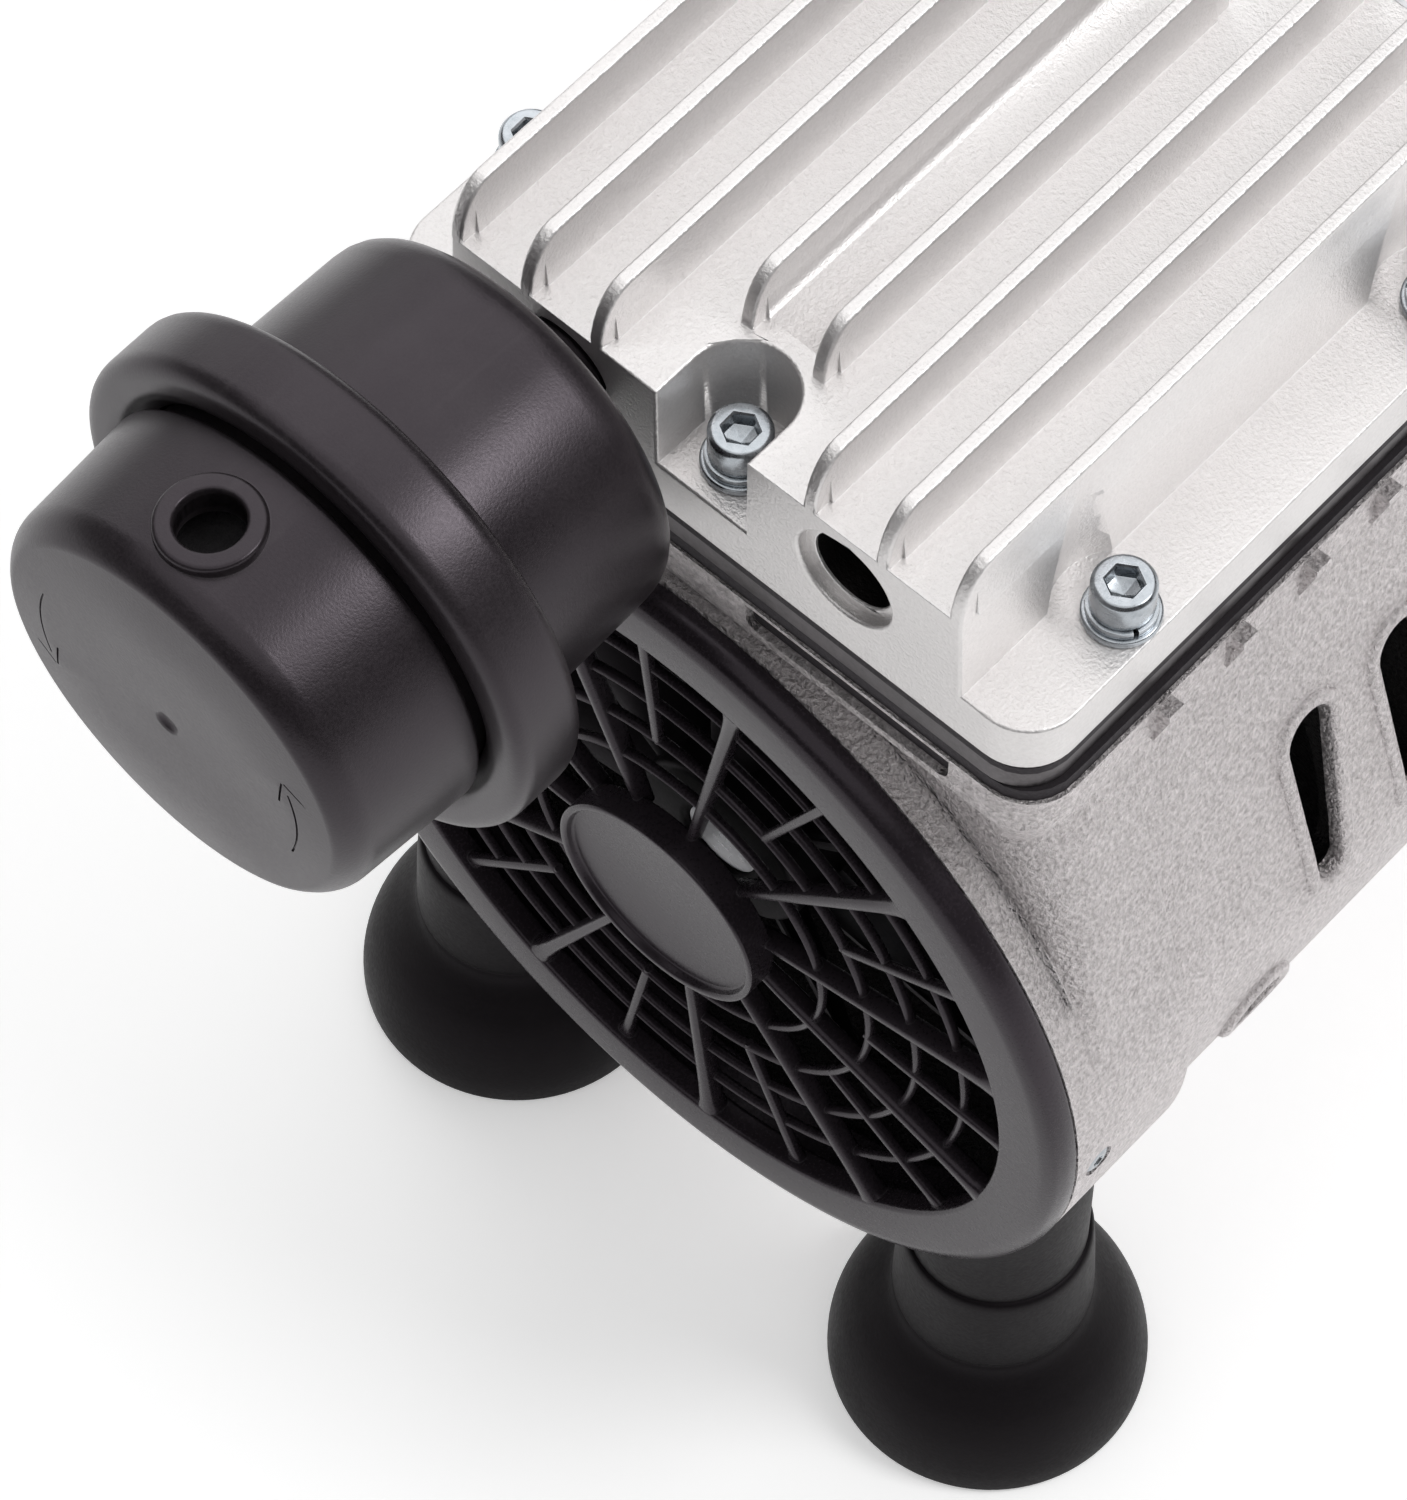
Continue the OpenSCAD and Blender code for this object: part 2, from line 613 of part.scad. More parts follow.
ecc_w = ecc_w_share * pump_length;
rod_t = rod_t_share * pump_length;
weight_t = weight_t_share * pump_length;
fan_hub_len = fan_hub_len_share * pump_length;
blade_w = blade_w_share * pump_length;
fan_front_y = fan_front_y_share * pump_length;
pipe_in = pipe_in_share * pump_length;
side_screw_x = cover_half - side_screw_edge;
block_half = cover_half - flange_step;
block_top_half = block_half - block_taper;
top_flange_half = cover_half + flange_lip;
neck_half = top_flange_half - neck_step;
fin_pitch = 2 * (block_top_half - fin_edge) / (fins - 1);
chamber_far = block_half - chamber_wall;
port_x = port_x_share * cover_half;
plate_port_x = plate_port_x_share * bore_r;
cap_front_r = cap_front_r_share * ring_r;
cap_root_r = cap_root_r_share * ring_r;
cap_tail_r = cap_tail_r_share * ring_r;
drum_r = drum_r_share * ring_r;
drum_back_r = drum_back_r_share * ring_r;
felt_r = felt_r_share * ring_r;
felt_bore_r = felt_bore_r_share * ring_r;
ring_front = ring_front_share * cap_front;
ring_back = ring_back_share * cap_front;
outlet_y = outlet_y_share * cap_front;
felt_front = cap_front - muffler_wall - felt_end_gap;
foot_neck_r = foot_neck_r_share * foot_r;
foot_neck_top_r = foot_neck_top_r_share * foot_r;
foot_collar_r = foot_collar_r_share * foot_r;
foot_stud_plate_r = foot_stud_plate_r_share * foot_r;
foot_shoulder = foot_shoulder_share * foot_h;
foot_hole_depth = foot_hole_depth_share * foot_h;
overlap = 0.2;
cut_over = 2;
deck_z = axis_z + deck_h;
plate_z = deck_z + low_gasket_t;
top_gasket_z = plate_z + plate_t;
cover_z = top_gasket_z + top_gasket_t;
flange_z = cover_z + cover_flange_t;
block_z = flange_z + block_h;
port_z = block_z - port_drop;
head_y = cover_len / 2;
side_screw_y2 = cover_len - side_screw_y;
end_screw_y2 = cover_len - end_screw_y;
side_pad_z = flange_z + flat_washer_t + spring_washer_t;
sleeve_r = bore_r + sleeve_wall;
sleeve_top = plate_z;
sleeve_hole_z = plate_z - head_gap - 2 * throw - piston_h - piston_relief;
web_hole_angles = [0, -60, -120, 180];
crown_z = plate_z - head_gap;
pin_z = crown_z - pin_drop_share * body_r;
rod_len = pin_z - axis_z - throw;
skirt_r = bore_r - skirt_gap;
stator_y = mid_y - stator_len / 2;
neck_top_z = deck_z - top_flange_t + overlap;
head_screws_z = cover_z - cover_shank + cover_flange_t;
guard_curve = collar_r - guard_flat_r;
collar_end = collar_len - collar_front;
tie_angles = [-tie_angle, tie_angle - 180, -90 - tie_angle / 2, -90 + tie_angle / 2];
guard_screw_angles = [-guard_screw_dip, -90, guard_screw_dip - 180];
foot_stud_top = axis_z - sqrt(collar_r * collar_r - foot_x * foot_x) + foot_stud_in;
foot_shares = [[0, 0], [0.96, 0], [1, 0.03], [0.992, 0.1], [0.965, 0.18], [0.915, 0.27], [0.84, 0.36],
    [0.74, 0.44], [0.66, 0.485]];
race_share = 0.82;
inner_race_share = 0.6;
all_screws = [[0, end_screw_y], [-side_screw_x, side_screw_y], [side_screw_x, side_screw_y],
    [-side_screw_x, side_screw_y2], [side_screw_x, side_screw_y2], [0, end_screw_y2]];
silver = [0.78, 0.78, 0.79];
steel = [0.62, 0.63, 0.66];
zinc = [0.75, 0.76, 0.78];
black = [0.13, 0.13, 0.14];
rubber = [0.09, 0.09, 0.09];
copper = [0.72, 0.42, 0.22];
white = [0.9, 0.9, 0.88];

// Angle at which the neck's flat side meets the round body
function tangent_angle(r) =
    let (dz = deck_h - top_flange_t, d = sqrt(neck_half * neck_half + dz * dz))
    atan2(dz, neck_half) - acos(r / d);

// Puts the piece's lengths along Y about the middle of the pump
module placed() {
    translate([0, -mid_y, 0]) children();
}

// A cylinder along Y from y0
module ycyl(r, y0, len, x = 0, z = axis_z) {
    translate([x, y0, z]) rotate([-90, 0, 0]) cylinder(r = r, h = len);
}

// A tube along Y from y0
module ytube(r, bore, y0, len, x = 0, z = axis_z) {
    difference() {
        ycyl(r, y0, len, x, z);
        ycyl(bore, y0 - cut_over, len + 2 * cut_over, x, z);
    }
}

// A profile of [radius, y] pairs turned about an axis along Y
module yturn(points, x = 0, z = axis_z) {
    translate([x, 0, z]) rotate([-90, 0, 0]) rotate_extrude() polygon(points);
}

// The same piece at the other end of the pump
module rear() {
    translate([0, pump_length, 0]) mirror([0, 1, 0]) children();
}

// Both sides of the pump
module both_sides() {
    children();
    mirror([1, 0, 0]) children();
}

// A plate with round corners, seen from above
module round_plate(half, y0, y1, z0, t, r) {
    translate([-half, y0 + r, z0]) cube([2 * half, y1 - y0 - 2 * r, t]);
    translate([-half + r, y0, z0]) cube([2 * (half - r), y1 - y0, t]);
    for (x = [-half + r, half - r], y = [y0 + r, y1 - r]) {
        translate([x, y, z0]) cylinder(r = r, h = t);
    }
}

// Through holes for the six cover screws
module screw_holes(z0, z1) {
    for (p = all_screws) translate([p[0], p[1], z0]) cylinder(r = shank_r, h = z1 - z0);
}

// A slanted vent slot, wide and round at the top, cut through the right side wall
module vent_cutter(y) {
    drop = vent_top - vent_low - vent_tip_r;
    translate([vent_cut_x, y, axis_z + vent_top]) rotate([0, 90, 0]) {
        cylinder(r = vent_r, h = body_r);
        translate([drop, vent_lean, 0]) cylinder(r = vent_tip_r, h = body_r);
        linear_extrude(height = body_r) polygon([[0, -vent_r], [0, vent_r],
            [drop, vent_lean + vent_tip_r], [drop, vent_lean - vent_tip_r]]);
    }
}

// The neck between the top flange and a round body of radius r
module neck(r, y0, y1) {
    a = tangent_angle(r);
    low = r * cos(a);
    translate([0, y1, 0]) rotate([90, 0, 0]) linear_extrude(height = y1 - y0)
        polygon([[-low, axis_z + r * sin(a)], [-neck_half, neck_top_z], [neck_half, neck_top_z],
            [low, axis_z + r * sin(a)]]);
}

// Places a piece's axis on the side boss, pointing outwards
module side_boss_at() {
    translate([0, side_boss_y, axis_z]) rotate([0, 90 + side_boss_dip, 0]) children();
}

// The casting's outside: round body, collar, neck and top flange
module housing_skin() {
    ycyl(body_r, collar_len / 2, mid_y - collar_len / 2);
    ycyl(collar_r, -collar_front, collar_len);
    neck(collar_r, neck_inset, collar_end);
    both_sides() translate([top_flange_half - corner_r, corner_r, deck_z - top_flange_t - corbel_h])
        cylinder(r1 = corbel_tip_r, r2 = corner_r - overlap, h = corbel_h + overlap);
    neck(body_r, collar_end, cover_len - neck_inset);
    both_sides() side_boss_at() cylinder(r = boss_rim_r, h = body_r + boss_rim_h);
    both_sides() for (y = [lug_y, cover_len - lug_y - lug_len])
        translate([cover_half - low_gasket_inset, y, deck_z - overlap])
            cube([low_gasket_inset - plate_inset, lug_len, low_gasket_t + overlap]);
    round_plate(top_flange_half, 0, cover_len, deck_z - top_flange_t, top_flange_t, corner_r);
    both_sides() for (i = [0 : gussets - 1]) gusset(gusset_first + i * gusset_pitch);
}

// A small rib between the flange and the neck
module gusset(y) {
    translate([0, y + gusset_t / 2, 0]) rotate([90, 0, 0]) linear_extrude(height = gusset_t)
        polygon([[neck_half - overlap, deck_z - top_flange_t - gusset_h],
            [top_flange_half - overlap, deck_z - top_flange_t + overlap],
            [neck_half - gusset_t, deck_z - top_flange_t + overlap],
            [neck_half - gusset_t, deck_z - top_flange_t - gusset_h]]);
}

// The long recess in the flange's front edge
module flange_recess() {
    top = deck_z - recess_lip;
    translate([recess_near, -cut_over, top - recess_h + recess_r])
        cube([recess_far - recess_near, recess_depth + cut_over, recess_h - recess_r]);
    translate([recess_near + recess_r, -cut_over, top - recess_h])
        cube([recess_far - recess_near - 2 * recess_r, recess_depth + cut_over, recess_h]);
    for (x = [recess_near + recess_r, recess_far - recess_r]) {
        ycyl(recess_r, -cut_over, recess_depth + cut_over, x, top - recess_h + recess_r);
    }
}

// One housing half, from its front edge to the joint in the middle
module housing_half() {
    difference() {
        housing_skin();
        ycyl(fan_bore_r, -collar_front - cut_over, collar_front + cut_over + fan_bore_len);
        ycyl(crank_bore_r, fan_bore_len - overlap, web_y - fan_bore_len + overlap);
        ycyl(motor_bore_r, web_y + web_t, mid_y);
        ycyl(bearing_r, web_y - cut_over, web_t + 2 * cut_over);
        translate([0, head_y, sleeve_hole_z])
            cylinder(r = sleeve_r, h = sleeve_top - sleeve_hole_z);
        for (a = web_hole_angles) {
            ycyl(web_hole_r, web_y - cut_over, web_t + 2 * cut_over,
                web_hole_ring * cos(a), axis_z + web_hole_ring * sin(a));
        }
        screw_holes(head_screws_z, deck_z + cut_over);
        both_sides() flange_recess();
        both_sides() for (i = [0 : vents - 1]) vent_cutter(vent_first + i * vent_pitch);
        for (a = guard_screw_angles) guard_screw_at(a) {
            cylinder(r = guard_shank_r, h = collar_r);
            translate([0, 0, collar_r - guard_screw_h])
                cylinder(r = guard_screw_r, h = guard_screw_h + cut_over);
        }
        both_sides() side_boss_at() translate([0, 0, body_r + boss_rim_h - side_hole_depth])
            cylinder(r = side_hole_r, h = side_hole_depth + cut_over);
        both_sides() translate([foot_x, foot_y, 0]) cylinder(r = foot_stud_r, h = foot_stud_top);
        for (a = tie_angles) ycyl(tie_r, mid_y - tie_len, tie_len + cut_over,
            tie_ring * cos(a), axis_z + tie_ring * sin(a));
    }
}

// Places a guard screw's axis at an angle over +X, pointing outwards from the shaft
module guard_screw_at(a) {
    translate([0, guard_screw_y, axis_z]) rotate([0, 90 - a, 0]) children();
}

module housing_front() { color(silver) placed() housing_half(); }
module housing_rear() { color(silver) placed() rear() housing_half(); }

module housing_tie_studs() {
    color(zinc) placed() for (a = tie_angles) {
        ycyl(tie_r, mid_y - tie_len, 2 * tie_len, tie_ring * cos(a), axis_z + tie_ring * sin(a));
    }
}

// The sleeve stands in the housing and reaches the valve plate
module sleeve() {
    translate([0, head_y, sleeve_top - sleeve_len]) difference() {
        cylinder(r = sleeve_r, h = sleeve_len);
        translate([0, 0, -cut_over]) cylinder(r = bore_r, h = sleeve_len + 2 * cut_over);
    }
}
module cylinder_sleeve_front() { color(steel) placed() sleeve(); }
module cylinder_sleeve_rear() { color(steel) placed() rear() sleeve(); }

module low_gasket() {
    difference() {
        round_plate(cover_half - low_gasket_inset, low_gasket_inset, cover_len - low_gasket_inset,
            deck_z, low_gasket_t, corner_r - low_gasket_inset);
        translate([0, head_y, deck_z - cut_over])
            cylinder(r = sleeve_r, h = low_gasket_t + 2 * cut_over);
        screw_holes(deck_z - cut_over, plate_z + cut_over);
    }
}
module lower_gasket_front() { color(rubber) placed() low_gasket(); }
module lower_gasket_rear() { color(rubber) placed() rear() low_gasket(); }

// Places of the valve plate's ports on one side
function port_y(i) = head_y + (i - (plate_ports - 1) / 2) * plate_port_pitch;

module plate() {
    difference() {
        round_plate(cover_half - plate_inset, plate_inset, cover_len - plate_inset, plate_z,
            plate_t, corner_r - plate_inset);
        screw_holes(plate_z - cut_over, top_gasket_z + cut_over);
        for (i = [0 : plate_ports - 1], x = [-plate_port_x, plate_port_x]) {
            translate([x, port_y(i), plate_z - cut_over])
                cylinder(r = plate_port_r, h = plate_t + 2 * cut_over);
        }
    }
}
module valve_plate_front() { color(steel) placed() plate(); }
module valve_plate_rear() { color(steel) placed() rear() plate(); }

module top_gasket() {
    difference() {
        round_plate(cover_half - gasket_inset, gasket_inset, cover_len - gasket_inset, top_gasket_z,
            top_gasket_t, corner_r - gasket_inset);
        both_sides() translate([divider_half, chamber_start, top_gasket_z - cut_over])
            cube([chamber_far - divider_half, cover_len - 2 * chamber_start,
                top_gasket_t + 2 * cut_over]);
        screw_holes(top_gasket_z - cut_over, cover_z + cut_over);
    }
}
module upper_gasket_front() { color(rubber) placed() top_gasket(); }
module upper_gasket_rear() { color(rubber) placed() rear() top_gasket(); }

// A strip over the outlet ports, and one under the inlet ports
module reeds() {
    len = (plate_ports - 1) * plate_port_pitch + 2 * reed_over;
    translate([plate_port_x - reed_w / 2, head_y - len / 2, top_gasket_z])
        cube([reed_w, len, reed_t]);
    translate([-plate_port_x - reed_w / 2, head_y - len / 2, plate_z - reed_t])
        cube([reed_w, len, reed_t]);
}
module reeds_front() { color(steel) placed() reeds(); }
module reeds_rear() { color(steel) placed() rear() reeds(); }

// Side outline of a fin, with a rounded rise at both ends
function fin_outline(y0, y1) = concat(
    [for (i = [0 : fin_curve_steps]) let (a = 90 * i / fin_curve_steps)
        [y0 + fin_curve * (1 - cos(a)), fin_h * sin(a)]],
    [for (i = [fin_curve_steps : -1 : 0]) let (a = 90 * i / fin_curve_steps)
        [y1 - fin_curve * (1 - cos(a)), fin_h * sin(a)]],
    [[y1, -overlap], [y0, -overlap]]);

// A fin of two plain thicknesses: a root and a thinner blade
module fin(x, y0, y1) {
    translate([x - fin_t / 2, 0, block_z]) rotate([90, 0, 90])
        linear_extrude(height = fin_t) polygon(fin_outline(y0, y1));
    translate([x, 0, block_z]) rotate([90, 0, 0]) translate([0, 0, -y1 + fin_curve / 2])
        linear_extrude(height = y1 - y0 - fin_curve) polygon([[-fin_root_t / 2, -overlap],
            [fin_root_t / 2, -overlap], [fin_t / 2, fin_h / 2], [-fin_t / 2, fin_h / 2]]);
}

module cover(port_r) {
    difference() {
        union() {
            round_plate(cover_half, 0, cover_len, cover_z, cover_flange_t, corner_r);
            translate([0, cover_len, 0]) rotate([90, 0, 0]) linear_extrude(height = cover_len)
                polygon([[-block_half, flange_z - overlap], [-block_top_half, block_z],
                    [block_top_half, block_z], [block_half, flange_z - overlap]]);
            for (i = [0 : fins - 1]) {
                inner = abs(i - (fins - 1) / 2) < 1 ? end_screw_y + notch_w / 2 : 0;
                fin((i - (fins - 1) / 2) * fin_pitch, inner, cover_len - inner);
            }
        }
        for (y = [end_screw_y, end_screw_y2]) {
            translate([0, y, flange_z]) cylinder(r = notch_w / 2, h = block_h + fin_h + cut_over);
        }
        for (y = [-cut_over, end_screw_y2]) translate([-notch_w / 2, y, flange_z])
            cube([notch_w, end_screw_y + cut_over, block_h + fin_h + cut_over]);
        both_sides() for (y = [side_screw_y, side_screw_y2]) translate([side_screw_x, y, flange_z])
            cylinder(r1 = scoop_r, r2 = scoop_top_r, h = block_h + fin_h);
        both_sides() translate([divider_half, chamber_start, cover_z - cut_over])
            cube([chamber_far - divider_half, cover_len - 2 * chamber_start,
                cover_flange_t + block_h - chamber_roof + cut_over]);
        both_sides() ycyl(port_r, -cut_over, chamber_start + 2 * cut_over, port_x, port_z);
        both_sides() ycyl(port_mouth_r, -cut_over, port_mouth_depth + cut_over, port_x, port_z);
        both_sides() ycyl(pipe_r, cover_len - chamber_start - cut_over, chamber_start + 2 * cut_over,
            port_x, port_z);
        screw_holes(cover_z - cut_over, block_z + fin_h + cut_over);
    }
}
module cover_front() { color(silver) placed() cover(port_bore_r); }
module cover_rear() { color(silver) placed() rear() cover(plug_r); }

// A socket-head cap screw standing on the washers
module cap_screw() {
    translate([0, 0, side_pad_z]) difference() {
        cylinder(r = head_r, h = head_h);
        translate([0, 0, head_h - socket_depth])
            cylinder(r = socket_af / sqrt(3), h = socket_depth + cut_over, $fn = 6);
    }
    translate([0, 0, flange_z - cover_shank])
        cylinder(r = shank_r, h = side_pad_z - flange_z + cover_shank + overlap);
}
module cover_screws() {
    color(zinc) placed() {
        for (p = all_screws) translate([p[0], p[1], 0]) cap_screw();
        rear() for (p = all_screws) translate([p[0], p[1], 0]) cap_screw();
    }
}

module washer(r, z, t) {
    difference() {
        translate([0, 0, z]) cylinder(r = r, h = t);
        translate([0, 0, z - cut_over]) cylinder(r = shank_r, h = t + 2 * cut_over);
    }
}
module spring_washer() {
    difference() {
        washer(spring_washer_r, flange_z + flat_washer_t, spring_washer_t);
        translate([0, -washer_slit / 2, flange_z]) cube([2 * spring_washer_r, washer_slit, block_h]);
    }
}
module spring_washers() {
    color(zinc) placed() {
        for (p = all_screws) translate([p[0], p[1], 0]) spring_washer();
        rear() for (p = all_screws) translate([p[0], p[1], 0]) spring_washer();
    }
}
module flat_washers() {
    color(zinc) placed() {
        for (p = all_screws) translate([p[0], p[1], 0]) washer(flat_washer_r, flange_z, flat_washer_t);
        rear() for (p = all_screws) translate([p[0], p[1], 0])
            washer(flat_washer_r, flange_z, flat_washer_t);
    }
}

// Two pipes that join the chambers of the two covers
module crossover_pipes() {
    y0 = cover_len - pipe_in;
    color(steel) placed() both_sides() {
        ytube(pipe_r, pipe_r - pipe_wall, y0, pump_length - 2 * y0, port_x, port_z);
        ytube(pipe_collar_r, pipe_r - overlap, cover_len, pipe_collar_len, port_x, port_z);
        ytube(pipe_collar_r, pipe_r - overlap, pump_length - cover_len - pipe_collar_len,
            pipe_collar_len, port_x, port_z);
    }
}

// Hexagon plugs in the rear cover's two ports
module port_plugs() {
    color(zinc) placed() both_sides() rear() {
        ycyl(plug_r - thread_gap, -overlap, plug_len + overlap, port_x, port_z);
        translate([port_x, -plug_head_h, port_z]) rotate([-90, 0, 0])
            cylinder(r = plug_head_r, h = plug_head_h, $fn = 6);
    }
}

// Muffler body: ring, drum and threaded neck, open at the front
module muffler_body() {
    color(black) placed() difference() {
        yturn([[cap_tail_r + cap_gap, -ring_front + ring_round],
            [cap_root_r + 2 * cap_gap, -ring_front], [ring_r - ring_round, -ring_front],
            [ring_r, -ring_front + ring_round],
            [ring_r, -ring_back], [drum_r, -ring_back], [drum_back_r, -drum_back - drum_round],
            [drum_back_r - drum_round * (1 - cos(45)), -drum_back - drum_round * (1 - sin(45))],
            [drum_back_r - drum_round, -drum_back], [neck_r, -drum_back], [neck_r, 0],
            [port_bore_r - thread_gap, 0], [port_bore_r - thread_gap, neck_in], [neck_bore_r, neck_in],
            [neck_bore_r, -drum_back - muffler_wall],
            [drum_back_r - muffler_wall, -drum_back - muffler_wall],
            [drum_r - muffler_wall, -ring_back],
            [drum_r - muffler_wall, -ring_front + ring_round + cap_tail],
            [cap_tail_r + cap_gap, -ring_front + ring_round + cap_tail]], -port_x, port_z);
    }
}

// Muffler cap: a cup that twists in the body's ring, with an outlet hole in its side
module muffler_cap() {
    tail_y = -ring_front + ring_round + cap_tail - cap_gap;
    color(black) placed() difference() {
        union() {
            yturn([[0, -cap_front], [cap_front_r - cap_round, -cap_front],
                [cap_front_r - cap_round * (1 - cos(45)), -cap_front + cap_round * (1 - sin(45))],
                [cap_front_r, -cap_front + cap_round], [cap_root_r, -ring_front - cap_gap],
                [cap_tail_r, -ring_front - cap_gap], [cap_tail_r, tail_y],
                [cap_tail_r - muffler_wall, tail_y],
                [cap_front_r - muffler_wall, -cap_front + cap_round + muffler_wall],
                [cap_front_r - cap_round - muffler_wall, -cap_front + muffler_wall],
                [0, -cap_front + muffler_wall]], -port_x, port_z);
            outlet_at() translate([0, 0, cap_front_r - muffler_wall])
                cylinder(r = outlet_rim_r, h = muffler_wall + outlet_rim_h);
        }
        outlet_at() translate([0, 0, felt_r]) cylinder(r = outlet_r, h = cap_root_r);
        ycyl(gate_r, -cap_front - cut_over, cut_over + gate_depth, -port_x, port_z);
    }
}

// Places the outlet hole's axis, pointing outwards from the muffler's axis
module outlet_at() {
    translate([-port_x, -outlet_y, port_z]) rotate([0, 90 - outlet_angle, 0]) children();
}

module muffler_felt() {
    color(white) placed() ytube(felt_r, felt_bore_r, -felt_front,
        felt_front - drum_back - muffler_wall, -port_x, port_z);
}

// One spoke of the guard at an angle from the top, from r0 to r1
module spoke(angle, r0, r1, w0, w1, front, depth) {
    translate([0, 0, axis_z]) rotate([0, angle, 0]) translate([0, -front + depth, 0])
        rotate([90, 0, 0]) linear_extrude(height = depth)
            polygon([[-w0 / 2, r0], [-w1 / 2, r1], [w1 / 2, r1], [w0 / 2, r0]]);
}

// Fan guard: shell, spigot, spokes, wire rings and hub
module guard() {
    spigot_r = fan_bore_r - spigot_gap;
    yturn([[guard_in_r, -guard_face], [guard_flat_r, -guard_face],
        [guard_flat_r + guard_curve * sin(45), -guard_face + guard_curve * (1 - cos(45))],
        [collar_r, -guard_face + guard_curve], [collar_r, -collar_front],
        [spigot_r, -collar_front], [spigot_r, -collar_front + spigot_len],
        [spigot_r - spigot_t, -collar_front + spigot_len],
        [spigot_r - spigot_t, -guard_face + guard_t + spigot_t],
        [guard_in_r, -guard_face + guard_t + spigot_t]]);
    step = 360 / spokes;
    for (i = [0 : spokes - 1]) {
        spoke(spoke_first + i * step, hub_r - 2 * hub_rim_t, guard_in_r + spoke_sink, spoke_hub_w,
            spoke_w, guard_face - spoke_set, spoke_depth);
        spoke(spoke_first + (i + 0.5) * step, short_from, guard_in_r + spoke_sink, short_w, short_w,
            guard_face - short_back, wire_depth);
    }
    for (i = [0 : wires - 1]) {
        r = wire_first + i * wire_pitch;
        ytube(r + wire_w / 2, r - wire_w / 2, -guard_face + wire_back + i * wire_step, wire_depth);
    }
    difference() {
        ycyl(hub_r, -hub_front, hub_depth);
        ycyl(hub_r - hub_rim_t, -hub_front - cut_over, hub_dish + cut_over);
    }
}
module guard_drilled() {
    difference() {
        guard();
        for (a = guard_screw_angles) guard_screw_at(a) cylinder(r = guard_shank_r, h = collar_r);
    }
}
module guard_front() { color(black) placed() guard_drilled(); }
module guard_rear() { color(black) placed() rear() guard_drilled(); }

module guard_screw() {
    translate([0, 0, collar_r - guard_screw_h]) cylinder(r = guard_screw_r, h = guard_screw_h);
    translate([0, 0, collar_r - guard_screw_h - guard_shank])
        cylinder(r = guard_shank_r, h = guard_shank + overlap);
}
module guard_screws() {
    color(zinc) placed() {
        for (a = guard_screw_angles) guard_screw_at(a) guard_screw();
        rear() for (a = guard_screw_angles) guard_screw_at(a) guard_screw();
    }
}

// A bell-shaped rubber foot with a screw hole under it and room for its stud
module foot() {
    difference() {
        rotate_extrude() polygon(concat([for (p = foot_shares) [p[0] * foot_r, p[1] * foot_h]],
            [[foot_neck_r, foot_shoulder], [foot_neck_top_r, foot_h], [0, foot_h]]));
        translate([0, 0, -cut_over]) cylinder(r = foot_hole_r, h = foot_hole_depth + cut_over);
        translate([0, 0, foot_shoulder]) cylinder(r = foot_stud_plate_r, h = foot_stud_plate_t);
        translate([0, 0, foot_shoulder]) cylinder(r = foot_stud_r, h = foot_h);
    }
}
module foot_front_right() { color(rubber) placed() translate([foot_x, foot_y, 0]) foot(); }
module foot_front_left() { color(rubber) placed() translate([-foot_x, foot_y, 0]) foot(); }
module foot_rear_right() { color(rubber) placed() rear() translate([foot_x, foot_y, 0]) foot(); }
module foot_rear_left() { color(rubber) placed() rear() translate([-foot_x, foot_y, 0]) foot(); }

// Collars between the rubber and the round body
module foot_collar() {
    difference() {
        translate([foot_x, foot_y, foot_h]) cylinder(r = foot_collar_r, h = foot_collar_h);
        ycyl(collar_r, -foot_collar_r, collar_end + foot_collar_r);
        ycyl(body_r, 0, mid_y);
        translate([foot_x, foot_y, 0]) cylinder(r = foot_stud_r, h = axis_z);
    }
}
module foot_collars() {
    color(rubber) placed() {
        both_sides() foot_collar();
        rear() both_sides() foot_collar();
    }
}

// A stud with its plate bonded inside the rubber
module foot_stud() {
    translate([foot_x, foot_y, foot_shoulder]) {
        cylinder(r = foot_stud_plate_r, h = foot_stud_plate_t);
        cylinder(r = foot_stud_r, h = foot_stud_top - foot_shoulder);
    }
}
module foot_studs() {
    color(zinc) placed() {
        both_sides() foot_stud();
        rear() both_sides() foot_stud();
    }
}

module stator_core() {
    color(steel) placed() difference() {
        ycyl(motor_bore_r, stator_y, stator_len);
        ycyl(rotor_r + air_gap, stator_y - cut_over, stator_len + 2 * cut_over);
        for (i = [0 : stator_slots - 1]) translate([0, stator_y - cut_over, axis_z])
            rotate([0, 360 * i / stator_slots, 0]) translate([coil_bore_r, 0, -slot_w / 2])
                cube([slot_depth, stator_len + 2 * cut_over, slot_w]);
    }
}

// Coils: bundles through the slots and a ring at each end
module windings() {
    color(copper) placed() {
        for (i = [0 : stator_slots - 1]) translate([0, stator_y - overlap, axis_z])
            rotate([0, 360 * i / stator_slots, 0]) translate([coil_bore_r, 0, -slot_w / 2])
                cube([slot_depth, stator_len + 2 * overlap, slot_w]);
        ytube(coil_r, coil_bore_r, stator_y - coil_len, coil_len);
        ytube(coil_r, coil_bore_r, stator_y + stator_len, coil_len);
    }
}

module bearing() {
    difference() {
        ytube(bearing_r, shaft_r + running_fit, web_y, web_t);
        for (y = [web_y - bearing_groove, web_y + web_t - bearing_groove])
            ytube(bearing_r * race_share, bearing_r * inner_race_share, y, 2 * bearing_groove);
    }
}
module main_bearings() {
    color(steel) placed() {
        bearing();
        rear() bearing();
    }
}

// Places the gland's axis, pointing outwards from the shaft
module gland_at() {
    translate([0, stator_y - coil_len - gland_gap, axis_z]) rotate([0, -90 - gland_dip, 0])
        children();
}

